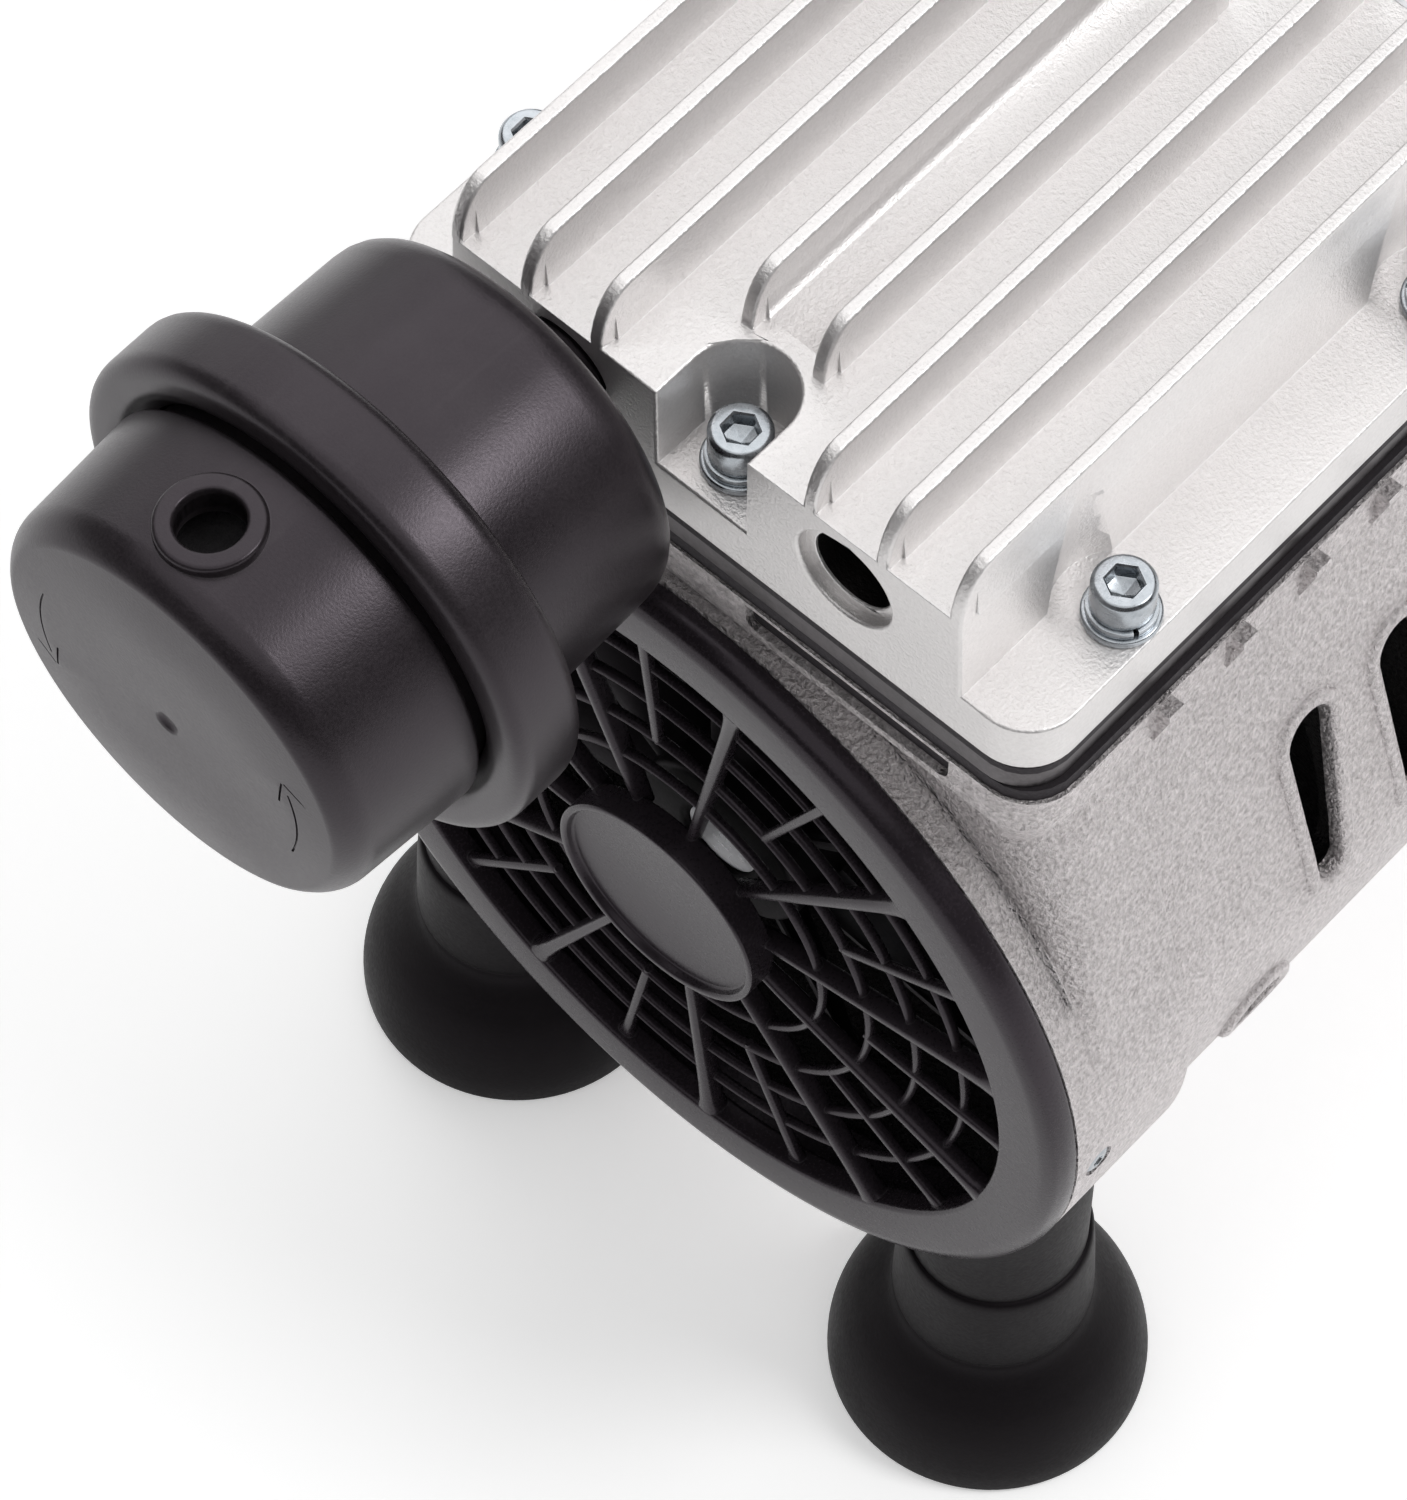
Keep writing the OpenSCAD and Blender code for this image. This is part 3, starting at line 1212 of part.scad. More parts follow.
// Cable gland low on the left side
module cable_gland() {
    color(black) placed() difference() {
        gland_at() difference() {
            translate([0, 0, crank_bore_r]) {
                cylinder(r = gland_r, h = body_r - crank_bore_r + gland_len / 2, $fn = 6);
                cylinder(r = gland_nose_r, h = body_r - crank_bore_r + gland_len);
            }
            translate([0, 0, body_r + gland_len - gland_bore_len])
                cylinder(r = gland_bore_r, h = gland_bore_len + cut_over);
        }
        ycyl(body_r, 0, mid_y);
    }
}

module shaft() {
    reach = fan_front_y + fan_hub_len;
    color(steel) placed() {
        ycyl(shaft_r, reach, pump_length - 2 * reach);
        ycyl(shaft_end_r, fan_front_y + shaft_back, pump_length - 2 * (fan_front_y + shaft_back));
    }
}

module rotor_core() {
    color(steel) placed() {
        ytube(rotor_r, shaft_r, mid_y - rotor_len / 2, rotor_len);
        ytube(end_ring_r, shaft_r, mid_y - rotor_len / 2 - end_ring_len,
            rotor_len + 2 * end_ring_len);
    }
}

// The eccentric at the top of its turn, or at the bottom when up is -1
module eccentric(up) {
    difference() {
        ycyl(ecc_r, head_y - ecc_w / 2, ecc_w, 0, axis_z + up * throw);
        ycyl(shaft_r, 0, mid_y);
    }
}
module eccentric_front() { color(steel) placed() eccentric(1); }
module eccentric_rear() { color(steel) placed() rear() eccentric(-1); }

// Half discs on the shaft, opposite the eccentric
module weight_pair(up) {
    for (y = [head_y - ecc_w / 2 - weight_gap - weight_t, head_y + ecc_w / 2 + weight_gap]) {
        difference() {
            ycyl(weight_r, y, weight_t);
            ycyl(shaft_r, y - cut_over, weight_t + 2 * cut_over);
            edge_z = up > 0 ? axis_z + weight_edge : axis_z - weight_edge - weight_r;
            translate([-weight_r, y - cut_over, edge_z])
                cube([2 * weight_r, weight_t + 2 * cut_over, weight_r]);
        }
    }
}
module counterweights() {
    color(steel) placed() {
        weight_pair(1);
        rear() weight_pair(-1);
    }
}

// A fan: hub, and blades set at an angle to the shaft
module fan() {
    ytube(fan_hub_r, shaft_end_r, fan_front_y, fan_hub_len);
    for (i = [0 : blades - 1]) translate([0, fan_front_y + fan_hub_len / 2, axis_z])
        rotate([0, 360 * i / blades, 0]) rotate([0, 0, blade_pitch])
            translate([-blade_t / 2, -blade_w / 2, fan_hub_r - blade_root])
                cube([blade_t, blade_w, fan_r - fan_hub_r + blade_root]);
}
module fan_front() { color(white) placed() fan(); }
module fan_rear() { color(white) placed() rear() fan(); }

// Connecting rod, upright, with its big end on the eccentric
module rod(up) {
    z = axis_z + up * throw;
    difference() {
        union() {
            ycyl(big_end_r, head_y - rod_t / 2, rod_t, 0, z);
            ycyl(small_end_r, head_y - rod_t / 2, rod_t, 0, z + rod_len);
            translate([-rod_w / 2, head_y - rod_t / 2, z + rod_bearing_r])
                cube([rod_w, rod_t, rod_len - rod_bearing_r]);
        }
        ycyl(rod_bearing_r, head_y - rod_t, 2 * rod_t, 0, z);
        ycyl(small_bore_r, head_y - rod_t, 2 * rod_t, 0, z + rod_len);
    }
}
module rod_front() { color(silver) placed() rod(1); }
module rod_rear() { color(silver) placed() rear() rod(-1); }
module rod_bearing_front() {
    color(steel) placed()
        ytube(rod_bearing_r, ecc_r + running_fit, head_y - rod_t / 2, rod_t, 0, axis_z + throw);
}
module rod_bearing_rear() {
    color(steel) placed() rear()
        ytube(rod_bearing_r, ecc_r + running_fit, head_y - rod_t / 2, rod_t, 0, axis_z - throw);
}

// Hollow piston with two pin bosses, its crown's top at z
module piston(z) {
    difference() {
        union() {
            difference() {
                translate([0, head_y, z - piston_h]) cylinder(r = skirt_r, h = piston_h);
                translate([0, head_y, z - piston_h - cut_over])
                    cylinder(r = skirt_r - skirt_wall, h = piston_h - crown_t + cut_over);
            }
            intersection() {
                translate([0, head_y, z - piston_h]) cylinder(r = skirt_r, h = piston_h);
                for (y = [head_y - skirt_r, head_y + boss_from]) {
                    ycyl(boss_r, y, skirt_r - boss_from, 0, z - crown_z + pin_z);
                }
            }
        }
        ycyl(pin_r, head_y - skirt_r - cut_over, 2 * skirt_r + 2 * cut_over, 0, z - crown_z + pin_z);
        translate([0, head_y, z - cup_drop - cup_h]) difference() {
            cylinder(r = bore_r, h = cup_h);
            translate([0, 0, -cut_over]) cylinder(r = skirt_r - cup_depth, h = cup_h + 2 * cut_over);
        }
    }
}
module piston_front() { color(silver) placed() piston(crown_z); }
module piston_rear() { color(silver) placed() rear() piston(crown_z - 2 * throw); }

module cup_seal(z) {
    translate([0, head_y, z - cup_drop - cup_h]) difference() {
        cylinder(r = bore_r - cup_gap, h = cup_h);
        translate([0, 0, -cut_over]) cylinder(r = skirt_r - cup_depth, h = cup_h + 2 * cut_over);
    }
}
module cup_seal_front() { color(black) placed() cup_seal(crown_z); }
module cup_seal_rear() { color(black) placed() rear() cup_seal(crown_z - 2 * throw); }

module pin_stubs(z) {
    for (y = [head_y - skirt_r + skirt_wall / 2, head_y + boss_from])
        ycyl(pin_r, y, skirt_r - skirt_wall / 2 - boss_from, 0, z);
}
module pin_stubs_front() { color(steel) placed() pin_stubs(pin_z); }
module pin_stubs_rear() { color(steel) placed() rear() pin_stubs(pin_z - 2 * throw); }

housing_front();
housing_rear();
housing_tie_studs();
cylinder_sleeve_front();
cylinder_sleeve_rear();
lower_gasket_front();
lower_gasket_rear();
valve_plate_front();
valve_plate_rear();
upper_gasket_front();
upper_gasket_rear();
reeds_front();
reeds_rear();
cover_front();
cover_rear();
cover_screws();
spring_washers();
flat_washers();
crossover_pipes();
port_plugs();
muffler_body();
muffler_cap();
muffler_felt();
guard_front();
guard_rear();
guard_screws();
foot_front_left();
foot_front_right();
foot_rear_left();
foot_rear_right();
foot_collars();
foot_studs();
stator_core();
windings();
main_bearings();
cable_gland();
shaft();
rotor_core();
eccentric_front();
eccentric_rear();
counterweights();
fan_front();
fan_rear();
rod_front();
rod_rear();
rod_bearing_front();
rod_bearing_rear();
piston_front();
piston_rear();
cup_seal_front();
cup_seal_rear();
pin_stubs_front();
pin_stubs_rear();
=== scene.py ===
# %% [markdown]
# # An oil-free vacuum pump
# The pump stands on four rubber feet. Two finned covers close its cylinders, a black silencer
# sits in the front cover's left port, and a fan behind each black guard cools the motor.
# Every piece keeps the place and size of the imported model. This lesson gives each one its
# finish, and rebuilds the pieces whose soft, moulded shape the plain solids only outline.

# %% Load the frame
import bmesh
import bpy
import json
import numpy as np
from math import asin, copysign, cos, pi, radians, sin, sqrt
from mathutils import Matrix, Vector


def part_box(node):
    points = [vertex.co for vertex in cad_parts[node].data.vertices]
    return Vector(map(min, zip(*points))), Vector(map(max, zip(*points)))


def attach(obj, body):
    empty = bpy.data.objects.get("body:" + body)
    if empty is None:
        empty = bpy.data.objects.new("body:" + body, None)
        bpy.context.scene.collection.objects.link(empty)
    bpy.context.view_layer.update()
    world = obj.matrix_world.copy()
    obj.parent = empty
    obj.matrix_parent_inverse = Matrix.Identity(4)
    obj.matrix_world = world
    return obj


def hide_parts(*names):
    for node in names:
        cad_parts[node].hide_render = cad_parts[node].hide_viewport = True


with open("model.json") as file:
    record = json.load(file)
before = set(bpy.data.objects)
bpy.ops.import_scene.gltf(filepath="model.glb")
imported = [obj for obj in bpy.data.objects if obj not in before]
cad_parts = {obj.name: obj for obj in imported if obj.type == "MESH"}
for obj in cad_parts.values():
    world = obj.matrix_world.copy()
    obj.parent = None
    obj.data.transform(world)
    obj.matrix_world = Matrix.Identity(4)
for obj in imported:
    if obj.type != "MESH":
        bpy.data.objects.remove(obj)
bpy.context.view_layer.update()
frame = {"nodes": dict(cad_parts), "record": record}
NODES = frame["nodes"]
MM, TURN = 0.001, 2 * pi
ENDS = (("front", 1), ("rear", -1))
scene = bpy.context.scene

# %% [markdown]
# ## The pump's main sizes
# The pieces below share these sizes with the frame. They are read from the nodes' boxes, so a
# piece follows its node.

# %% Sizes taken from the nodes
guard_low, guard_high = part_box("guard_front")
SHAFT_Z = (guard_low[2] + guard_high[2]) / 2
body_low, body_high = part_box("muffler_body")
MUFFLER_X = (body_low[0] + body_high[0]) / 2
MUFFLER_Z = (body_low[2] + body_high[2]) / 2
FRONT_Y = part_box("cover_front")[0][1]
print("shaft height", round(SHAFT_Z, 4), "silencer axis", round(MUFFLER_X, 4), round(MUFFLER_Z, 4))
print("the front cover's face is at", round(FRONT_Y, 4))

# %% [markdown]
# ## Helpers
# Node trees, materials and objects take the same few steps each time, so the steps are
# functions: one adds a node with its values and links, one makes a sum, one maps a range.

# %% Helpers for trees, materials and objects


def put(tree, kind, links=(), **settings):
    """Adds a node, sets its properties or input values, and joins (output, input name)."""
    node = tree.nodes.new(kind)
    for key, value in settings.items():
        label = key.replace("_", " ")
        if label in node.inputs:
            node.inputs[label].default_value = value
        else:
            setattr(node, key, value)
    for source, target in links:
        tree.links.new(source, node.inputs[target])
    return node


def calc(tree, operation, *terms, kind="ShaderNodeMath"):
    """The value of a sum whose terms are outputs or numbers."""
    node = put(tree, kind, operation=operation)
    for number, term in enumerate(terms):
        if isinstance(term, float):
            node.inputs[number].default_value = term
        else:
            tree.links.new(term, node.inputs[number])
    return node.outputs["Value"]


def ramp(tree, value, low=0.0, high=1.0, to=(0.0, 1.0)):
    """A value mapped from low..high to another range."""
    return put(tree, "ShaderNodeMapRange", [(value, "Value")], From_Min=low, From_Max=high,
               To_Min=to[0], To_Max=to[1]).outputs["Result"]


def new_material(name, **values):
    """A material, its node tree and its Principled shader with values set."""
    material = bpy.data.materials.new(name)
    material.use_nodes = True
    shader = material.node_tree.nodes["Principled BSDF"]
    for key, value in values.items():
        shader.inputs[key.replace("_", " ")].default_value = value
    return material, material.node_tree, shader


def stand(name, data):
    """A new object in the scene."""
    thing = bpy.data.objects.new(name, data)
    scene.collection.objects.link(thing)
    return thing


def around(steps):
    """Angles that share a full turn equally."""
    return [TURN * i / steps for i in range(steps)]


# %% [markdown]
# ## Camera
# The photograph is a close view from high on the right. The camera's place and its long lens
# were worked out from the screws, the round guard and the straight fins. The three axes of a
# camera are its right, its up and its back, and a matrix of them turns it exactly.

# %% Camera at the photograph's angle
AZIMUTH, ELEVATION = radians(42.25), radians(60.18)
CAMERA_PLACE, LENS, SENSOR = (0.3459, -0.5303, 1.0567), 169.4, 36
back = Vector((sin(AZIMUTH) * cos(ELEVATION), -cos(AZIMUTH) * cos(ELEVATION),
               sin(ELEVATION)))
right = Vector((cos(AZIMUTH), sin(AZIMUTH), 0))
camera_data = bpy.data.cameras.new("camera")
camera_data.sensor_fit, camera_data.sensor_width, camera_data.lens = "HORIZONTAL", SENSOR, LENS
camera = stand("camera", camera_data)
camera.matrix_world = (Matrix.Translation(CAMERA_PLACE)
                       @ Matrix((right, back.cross(right), back)).transposed().to_4x4())
scene.camera = camera
print("camera", [round(v, 4) for v in camera.location])

# %% [markdown]
# ## Light and floor
# One strong soft lamp lights the photograph from the right, and a wide one overhead brightens
# the cover's upper faces. Black plastic mirrors the dark room, which gives the silencer its deep
# tones. A darker world would dim the whole pump, so a ring of dark screens stands in for the
# room, and only mirrored rays see it.

# %% Studio
WORLD_FILL, WHITE = 0.53, (1, 1, 1, 1)
MIDDLE = Vector((0, 0, 0.15))
LAMPS = (("lamp.right", (0.72, 0.32, 1.15), 0.42, 5.7), ("lamp.left", (-1.0, 0.4, 0.8), 0.9, 3.0),
         ("lamp.top", (-0.35, 0.5, 1.5), 1.3, 3.8))
scene.view_settings.view_transform = "Standard"
scene.world = bpy.data.worlds.new("studio")
scene.world.use_nodes = True
sky = scene.world.node_tree
sky.nodes.clear()
fill = put(sky, "ShaderNodeBackground", Color=WHITE, Strength=WORLD_FILL)
shown = put(sky, "ShaderNodeBackground", Color=WHITE, Strength=1.0)
path = put(sky, "ShaderNodeLightPath").outputs
seen = calc(sky, "MAXIMUM", path["Is Camera Ray"], path["Is Glossy Ray"])
seen = calc(sky, "MAXIMUM", seen, path["Is Transmission Ray"])
choose = put(sky, "ShaderNodeMixShader", [(seen, 0), (fill.outputs[0], 1), (shown.outputs[0], 2)])
put(sky, "ShaderNodeOutputWorld", [(choose.outputs[0], 0)])
for name, place, size, power in LAMPS:
    data = bpy.data.lights.new(name, "AREA")
    data.size, data.energy = size, power
    lamp = stand(name, data)
    lamp.location = place
    lamp.rotation_euler = (MIDDLE - lamp.location).to_track_quat("-Z", "Y").to_euler()

# %% Dark screens round the table
SCREEN_R, SCREEN_LOW, SCREEN_HIGH, SCREENS = 2.2, 0.25, 2.3, 64
screen_mesh = bpy.data.meshes.new("dark.screens")
screen_mesh.from_pydata([(SCREEN_R * cos(a), SCREEN_R * sin(a), z)
                         for z in (SCREEN_LOW, SCREEN_HIGH) for a in around(SCREENS)], [],
                        [(i, (i + 1) % SCREENS, SCREENS + (i + 1) % SCREENS, SCREENS + i)
                         for i in range(SCREENS)])
screens = stand("dark.screens", screen_mesh)
for ray in ("camera", "diffuse", "transmission", "volume_scatter", "shadow"):
    setattr(screens, "visible_" + ray, False)
screen_mesh.materials.append(new_material("dark velvet", Base_Color=(0.1, 0.095, 0.1, 1), Roughness=0.95)[0])
print("screens", len(screen_mesh.polygons))

# %% [markdown]
# ## Shared surface effects
# Five effects turn up in several finishes, so each is a shader node group with named inputs:
# grain (the tiny bumps of a casting or a moulding), soft edges painted lighter as a highlight (they
# catch light), dust that settles on top, thin scratches, and painted shade inside a round hole.

# %% Shader node groups, and noise in a piece's own space


def group_with(name, inputs, *outputs):
    """A shader node group with float inputs, and masks or a normal as outputs."""
    tree = bpy.data.node_groups.new(name, "ShaderNodeTree")
    for label, value in inputs.items():
        tree.interface.new_socket(label, in_out="INPUT", socket_type="NodeSocketFloat").default_value = value
    for label in outputs:
        kind = "NodeSocketVector" if label == "Normal" else "NodeSocketFloat"
        tree.interface.new_socket(label, in_out="OUTPUT", socket_type=kind)
    return tree, tree.nodes.new("NodeGroupInput").outputs, tree.nodes.new("NodeGroupOutput").inputs


def noise(tree, scale, where=None, **settings):
    """Noise over the piece's own coordinates, or over other ones."""
    if where is None:
        where = put(tree, "ShaderNodeTexCoord").outputs["Object"]
    return put(tree, "ShaderNodeTexNoise", [(where, "Vector"), (scale, "Scale")], **settings).outputs["Fac"]


# %% Grain, as small bumps and a mask
grain, take, give = group_with("grain", {"Scale": 900.0, "Height": 0.0001, "Patches": 40.0},
                               "Mask", "Patch", "Normal")
fine = noise(grain, take["Scale"], Detail=3.0, Roughness=0.6)
bumps = put(grain, "ShaderNodeBump", [(fine, "Height"), (take["Height"], "Distance")], Strength=1.0)
grain.links.new(fine, give["Mask"])
grain.links.new(noise(grain, take["Patches"], Detail=4.0), give["Patch"])
grain.links.new(bumps.outputs["Normal"], give["Normal"])
print("group", grain.name, [s.name for s in grain.interface.items_tree])

# %% Soft edges: how far the rounded normal leans from the flat one, the mask of a painted highlight
edges, take, give = group_with("edges", {"Radius": 0.0008, "Low": 0.02, "High": 0.25}, "Mask")
soft = put(edges, "ShaderNodeBevel", [(take["Radius"], "Radius")], samples=4)
surface = put(edges, "ShaderNodeNewGeometry")
lean = calc(edges, "DOT_PRODUCT", soft.outputs[0], surface.outputs["Normal"], kind="ShaderNodeVectorMath")
edge_highlight = put(edges, "ShaderNodeMapRange", [(calc(edges, "SUBTRACT", 1.0, lean), "Value"),
                                         (take["Low"], "From Min"), (take["High"], "From Max")])
edges.links.new(edge_highlight.outputs["Result"], give["Mask"])
print("group", edges.name)

# %% Dust on what faces up, broken up by noise
dust, take, give = group_with("dust", {"Amount": 0.3, "Scale": 60.0}, "Mask")
thick = ramp(dust, noise(dust, take["Scale"], Detail=8.0, Roughness=0.7), 0.45, 0.75)
surface = put(dust, "ShaderNodeNewGeometry")
split = put(dust, "ShaderNodeSeparateXYZ", [(surface.outputs["Normal"], "Vector")])
lying = calc(dust, "MULTIPLY", thick, ramp(dust, split.outputs["Z"], -0.2, 1.0))
dust.links.new(calc(dust, "MULTIPLY", lying, take["Amount"]), give["Mask"])
print("group", dust.name)

# %% Scratches: stretched noise cut to thin lines
scratches, take, give = group_with("scratches", {"Scale": 300.0, "Amount": 0.5}, "Mask")
coords = put(scratches, "ShaderNodeTexCoord")
stretch = put(scratches, "ShaderNodeMapping", [(coords.outputs["Object"], "Vector")],
              Rotation=(0.4, 0.9, 0.3), Scale=(1.0, 0.05, 1.0))
thin = ramp(scratches, noise(scratches, take["Scale"], stretch.outputs[0], Detail=2.0), 0.62, 0.72)
scratches.links.new(calc(scratches, "MULTIPLY", thin, take["Amount"]), give["Mask"])
print("group", scratches.name)

# %% The inside of a round hole or casting, painted dark as shade
hollow, take, give = group_with("hollow", {"Side": 0.0, "Height": SHAFT_Z, "Radius": 0.0735, "Reach": 1.0},
                                "Mask")
coords = put(hollow, "ShaderNodeTexCoord")
spot = put(hollow, "ShaderNodeSeparateXYZ", [(coords.outputs["Object"], "Vector")]).outputs
across = calc(hollow, "SUBTRACT", calc(hollow, "ABSOLUTE", spot["X"]), take["Side"])
over = calc(hollow, "SUBTRACT", spot["Z"], take["Height"])
flat = put(hollow, "ShaderNodeCombineXYZ", [(across, "X"), (over, "Y")])
reach = calc(hollow, "LENGTH", flat.outputs[0], kind="ShaderNodeVectorMath")
deep = calc(hollow, "LESS_THAN", calc(hollow, "ABSOLUTE", spot["Y"]), take["Reach"])
hollow.links.new(calc(hollow, "MULTIPLY", calc(hollow, "LESS_THAN", reach, take["Radius"]), deep), give["Mask"])
print("group", hollow.name)

# %% [markdown]
# ## Finishes
# Each finish is one material with its own Principled shader. Its base colour is a mix: a patchy
# base, then lighter edges as a painted highlight, scratches, dust and a dark inside as painted
# shade. Only the masks come from the groups, and numbers that are the same all over are set on the
# shader itself.

# %% A recipe that all finishes follow
FINISHES = {}


def laid_over(tree, below, group, colour, **inputs):
    """Lays a colour over the one below where a group's mask is set."""
    mask = put(tree, "ShaderNodeGroup", node_tree=group, **inputs).outputs["Mask"]
    step = put(tree, "ShaderNodeMix", [(mask, 0), (below, 6)], data_type="RGBA")
    step.inputs[7].default_value = (*colour, 1)
    return step.outputs[2]


def finish_of(slot, name, dark, light, metallic, rough, grain_size, grain_height, edge=None, edge_width=0.0008,
              dusty=None, dust_colour=(0.6, 0.58, 0.56), patches=40.0, scratch=0.0, patch_share=1.0,
              inside_shade=None, room=(0.0, SHAFT_Z, 0.0765, 1.0), **shader_values):
    """A slot's material: colours from dark to light in patches, rough = (low, high)."""
    material, tree, shader = new_material(name, Metallic=metallic, **shader_values)
    base = put(tree, "ShaderNodeGroup", node_tree=grain, Scale=grain_size, Height=grain_height,
               Patches=patches).outputs
    share = ramp(tree, base["Patch"], to=(0.5 - patch_share / 2, 0.5 + patch_share / 2))
    spread = ramp(tree, calc(tree, "ADD", base["Mask"], share), 0.75, 1.25)
    colour = put(tree, "ShaderNodeMix", [(spread, 0)], data_type="RGBA")
    colour.inputs[6].default_value = (*dark, 1)
    colour.inputs[7].default_value = (*light, 1)
    result = colour.outputs[2]
    shade_region = dict(zip(("Side", "Height", "Radius", "Reach"), room))
    # The edge colour is a painted highlight on rounded edges, and the inside colour is painted shade inside a
    # hole.
    for wanted, group, shade, values in ((edge, edges, edge, {"Radius": edge_width}),
                                         (scratch, scratches, dust_colour, {"Amount": scratch}),
                                         (dusty, dust, dust_colour, {"Amount": dusty}),
                                         (inside_shade, hollow, inside_shade, shade_region)):
        if wanted:
            result = laid_over(tree, result, group, shade, **values)
    for value, socket in ((result, "Base Color"), (ramp(tree, spread, to=rough), "Roughness"),
                          (base["Normal"], "Normal")):
        tree.links.new(value, shader.inputs[socket])
    if metallic == 0:
        shader.inputs["Specular Tint"].default_value = (1.0, 0.88, 0.99, 1)
    material.diffuse_color = (*[(a + b) / 2 for a, b in zip(dark, light)], 1)
    FINISHES[slot] = material


# %% Metals
# The housing's lighter edges are a painted highlight, and its dark inside round the shaft is painted shade.
finish_of("cast_housing", "sand cast aluminium", (0.42, 0.39, 0.39), (0.88, 0.835, 0.84), 0.75,
          (0.34, 0.56), 1150.0, 0.0018, edge=(0.74, 0.71, 0.71), patches=9.0, patch_share=0.25,
          inside_shade=(0.03, 0.028, 0.028))
# The cover's lighter edges are a painted highlight, and the dark bore of its port is painted shade.
finish_of("cast_cover", "die cast aluminium", (0.70, 0.68, 0.675), (0.80, 0.78, 0.775), 0.72,
          (0.36, 0.46), 1500.0, 0.00016, edge=(0.84, 0.83, 0.83), patches=30.0,
          inside_shade=(0.02, 0.017, 0.017), room=(0.0277, MUFFLER_Z, 0.0076, 0.1475))
# The valve plate is darkened as painted shade, for the gap under the cover that it lies in.
finish_of("valve_plate", "dark valve plate", (0.07, 0.064, 0.066), (0.13, 0.12, 0.125), 0.9,
          (0.34, 0.46), 1100.0, 0.00003, patches=60.0)
# The lighter edges of zinc and steel are a painted highlight.
finish_of("zinc", "zinc plated steel", (0.33, 0.355, 0.38), (0.47, 0.50, 0.53), 1.0, (0.2, 0.34), 900.0,
          0.00002, edge=(0.66, 0.7, 0.73), edge_width=0.0003, patches=400.0)
finish_of("steel", "ground steel", (0.48, 0.48, 0.5), (0.62, 0.62, 0.64), 1.0, (0.25, 0.4), 700.0,
          0.00003, edge=(0.75, 0.75, 0.77), scratch=0.3)
finish_of("lamination", "stacked steel sheet", (0.3, 0.3, 0.32), (0.42, 0.42, 0.44), 0.9, (0.35, 0.55),
          1500.0, 0.00006)
finish_of("winding", "varnished copper wire", (0.45, 0.2, 0.08), (0.68, 0.36, 0.16), 0.8, (0.3, 0.5),
          800.0, 0.0003, Coat_Weight=0.5)
print("metals:", list(FINISHES))

# %% Plastics, rubber and felt, all with the faint violet cast of pigmented black
# The lighter edges of the plastics are a painted highlight.
finish_of("black_plastic", "moulded black plastic", (0.0105, 0.0085, 0.0098), (0.020, 0.0165, 0.0188),
          0.0, (0.28, 0.38), 2200.0, 0.00003, edge=(0.04, 0.036, 0.039), edge_width=0.0006, dusty=0.06,
          dust_colour=(0.16, 0.15, 0.15), scratch=0.04, Specular_IOR_Level=0.42)
finish_of("guard_plastic", "glossy guard plastic", (0.015, 0.012, 0.0145), (0.026, 0.021, 0.0255), 0.0,
          (0.22, 0.32), 1800.0, 0.00003, edge=(0.06, 0.055, 0.06), edge_width=0.0005,
          Specular_IOR_Level=0.3)
# The fan is darkened to near black as painted shade, since it stands in the shade behind the guard.
finish_of("fan_plastic", "fan plastic", (0.003, 0.0027, 0.003), (0.006, 0.0055, 0.006), 0.0, (0.45, 0.6),
          1500.0, 0.00004, Specular_IOR_Level=0.25)
finish_of("foot_rubber", "foot rubber", (0.002, 0.0017, 0.0019), (0.004, 0.0034, 0.0037), 0.0,
          (0.42, 0.56), 1200.0, 0.00004, dusty=0.03, dust_colour=(0.06, 0.055, 0.055),
          Specular_IOR_Level=0.12)
finish_of("gasket", "gasket sheet", (0.004, 0.004, 0.004), (0.010, 0.009, 0.0095), 0.0, (0.6, 0.8),
          1500.0, 0.0001)
# The felt is darkened to near black as painted shade inside the silencer.
finish_of("felt", "needled felt", (0.02, 0.02, 0.021), (0.045, 0.044, 0.045), 0.0, (0.8, 0.95), 1400.0,
          0.0005)
print("finishes:", len(FINISHES))

# %% Each node takes the finish of what it is made of


def paint(thing, slot):
    """One finish over the whole of an object."""
    thing.data.materials.clear()
    thing.data.materials.append(FINISHES[slot])


for part in frame["record"]["subparts"]:
    paint(NODES[part["node"]], part["material_slot"])
for name, slot in (("stator_core", "lamination"), ("rotor_core", "lamination"),
                   ("valve_plate_front", "valve_plate"), ("valve_plate_rear", "valve_plate")):
    paint(NODES[name], slot)
print("painted", len(NODES), "nodes")

# %% [markdown]
# ## Soft edges and Geometry Nodes
# A casting's edges are round. A node's own mesh is left alone and modifiers finish it: Weld joins
# its loose triangles, Decimate merges flat ones into whole faces, Bevel rounds the edges, and a
# small Geometry Nodes tree shades smooth up to an angle. Another tree puts a form on each point
# of a list, turned by that point's own angles: twelve equal screws are one form and a list.

# %% Geometry Nodes trees


def geometry_tree(name, **inputs):
    """A Geometry Nodes tree with its inputs and its output, and the inputs' identifiers."""
    tree = bpy.data.node_groups.new(name, "GeometryNodeTree")
    for label, kind in inputs.items():
        tree.interface.new_socket(label, in_out="INPUT", socket_type="NodeSocket" + kind)
    tree.interface.new_socket("Geometry", in_out="OUTPUT", socket_type="NodeSocketGeometry")
    sockets = {s.name: s.identifier for s in tree.interface.items_tree if s.in_out == "INPUT"}
    return tree, tree.nodes.new("NodeGroupInput").outputs, tree.nodes.new("NodeGroupOutput").inputs[0], sockets


def add_tree(thing, tree, sockets, **values):
    """Adds a tree as a modifier, with its named inputs set by their identifiers."""
    modifier = thing.modifiers.new(tree.name, "NODES")
    modifier.node_group = tree
    for label, value in values.items():
        modifier[sockets[label]] = value


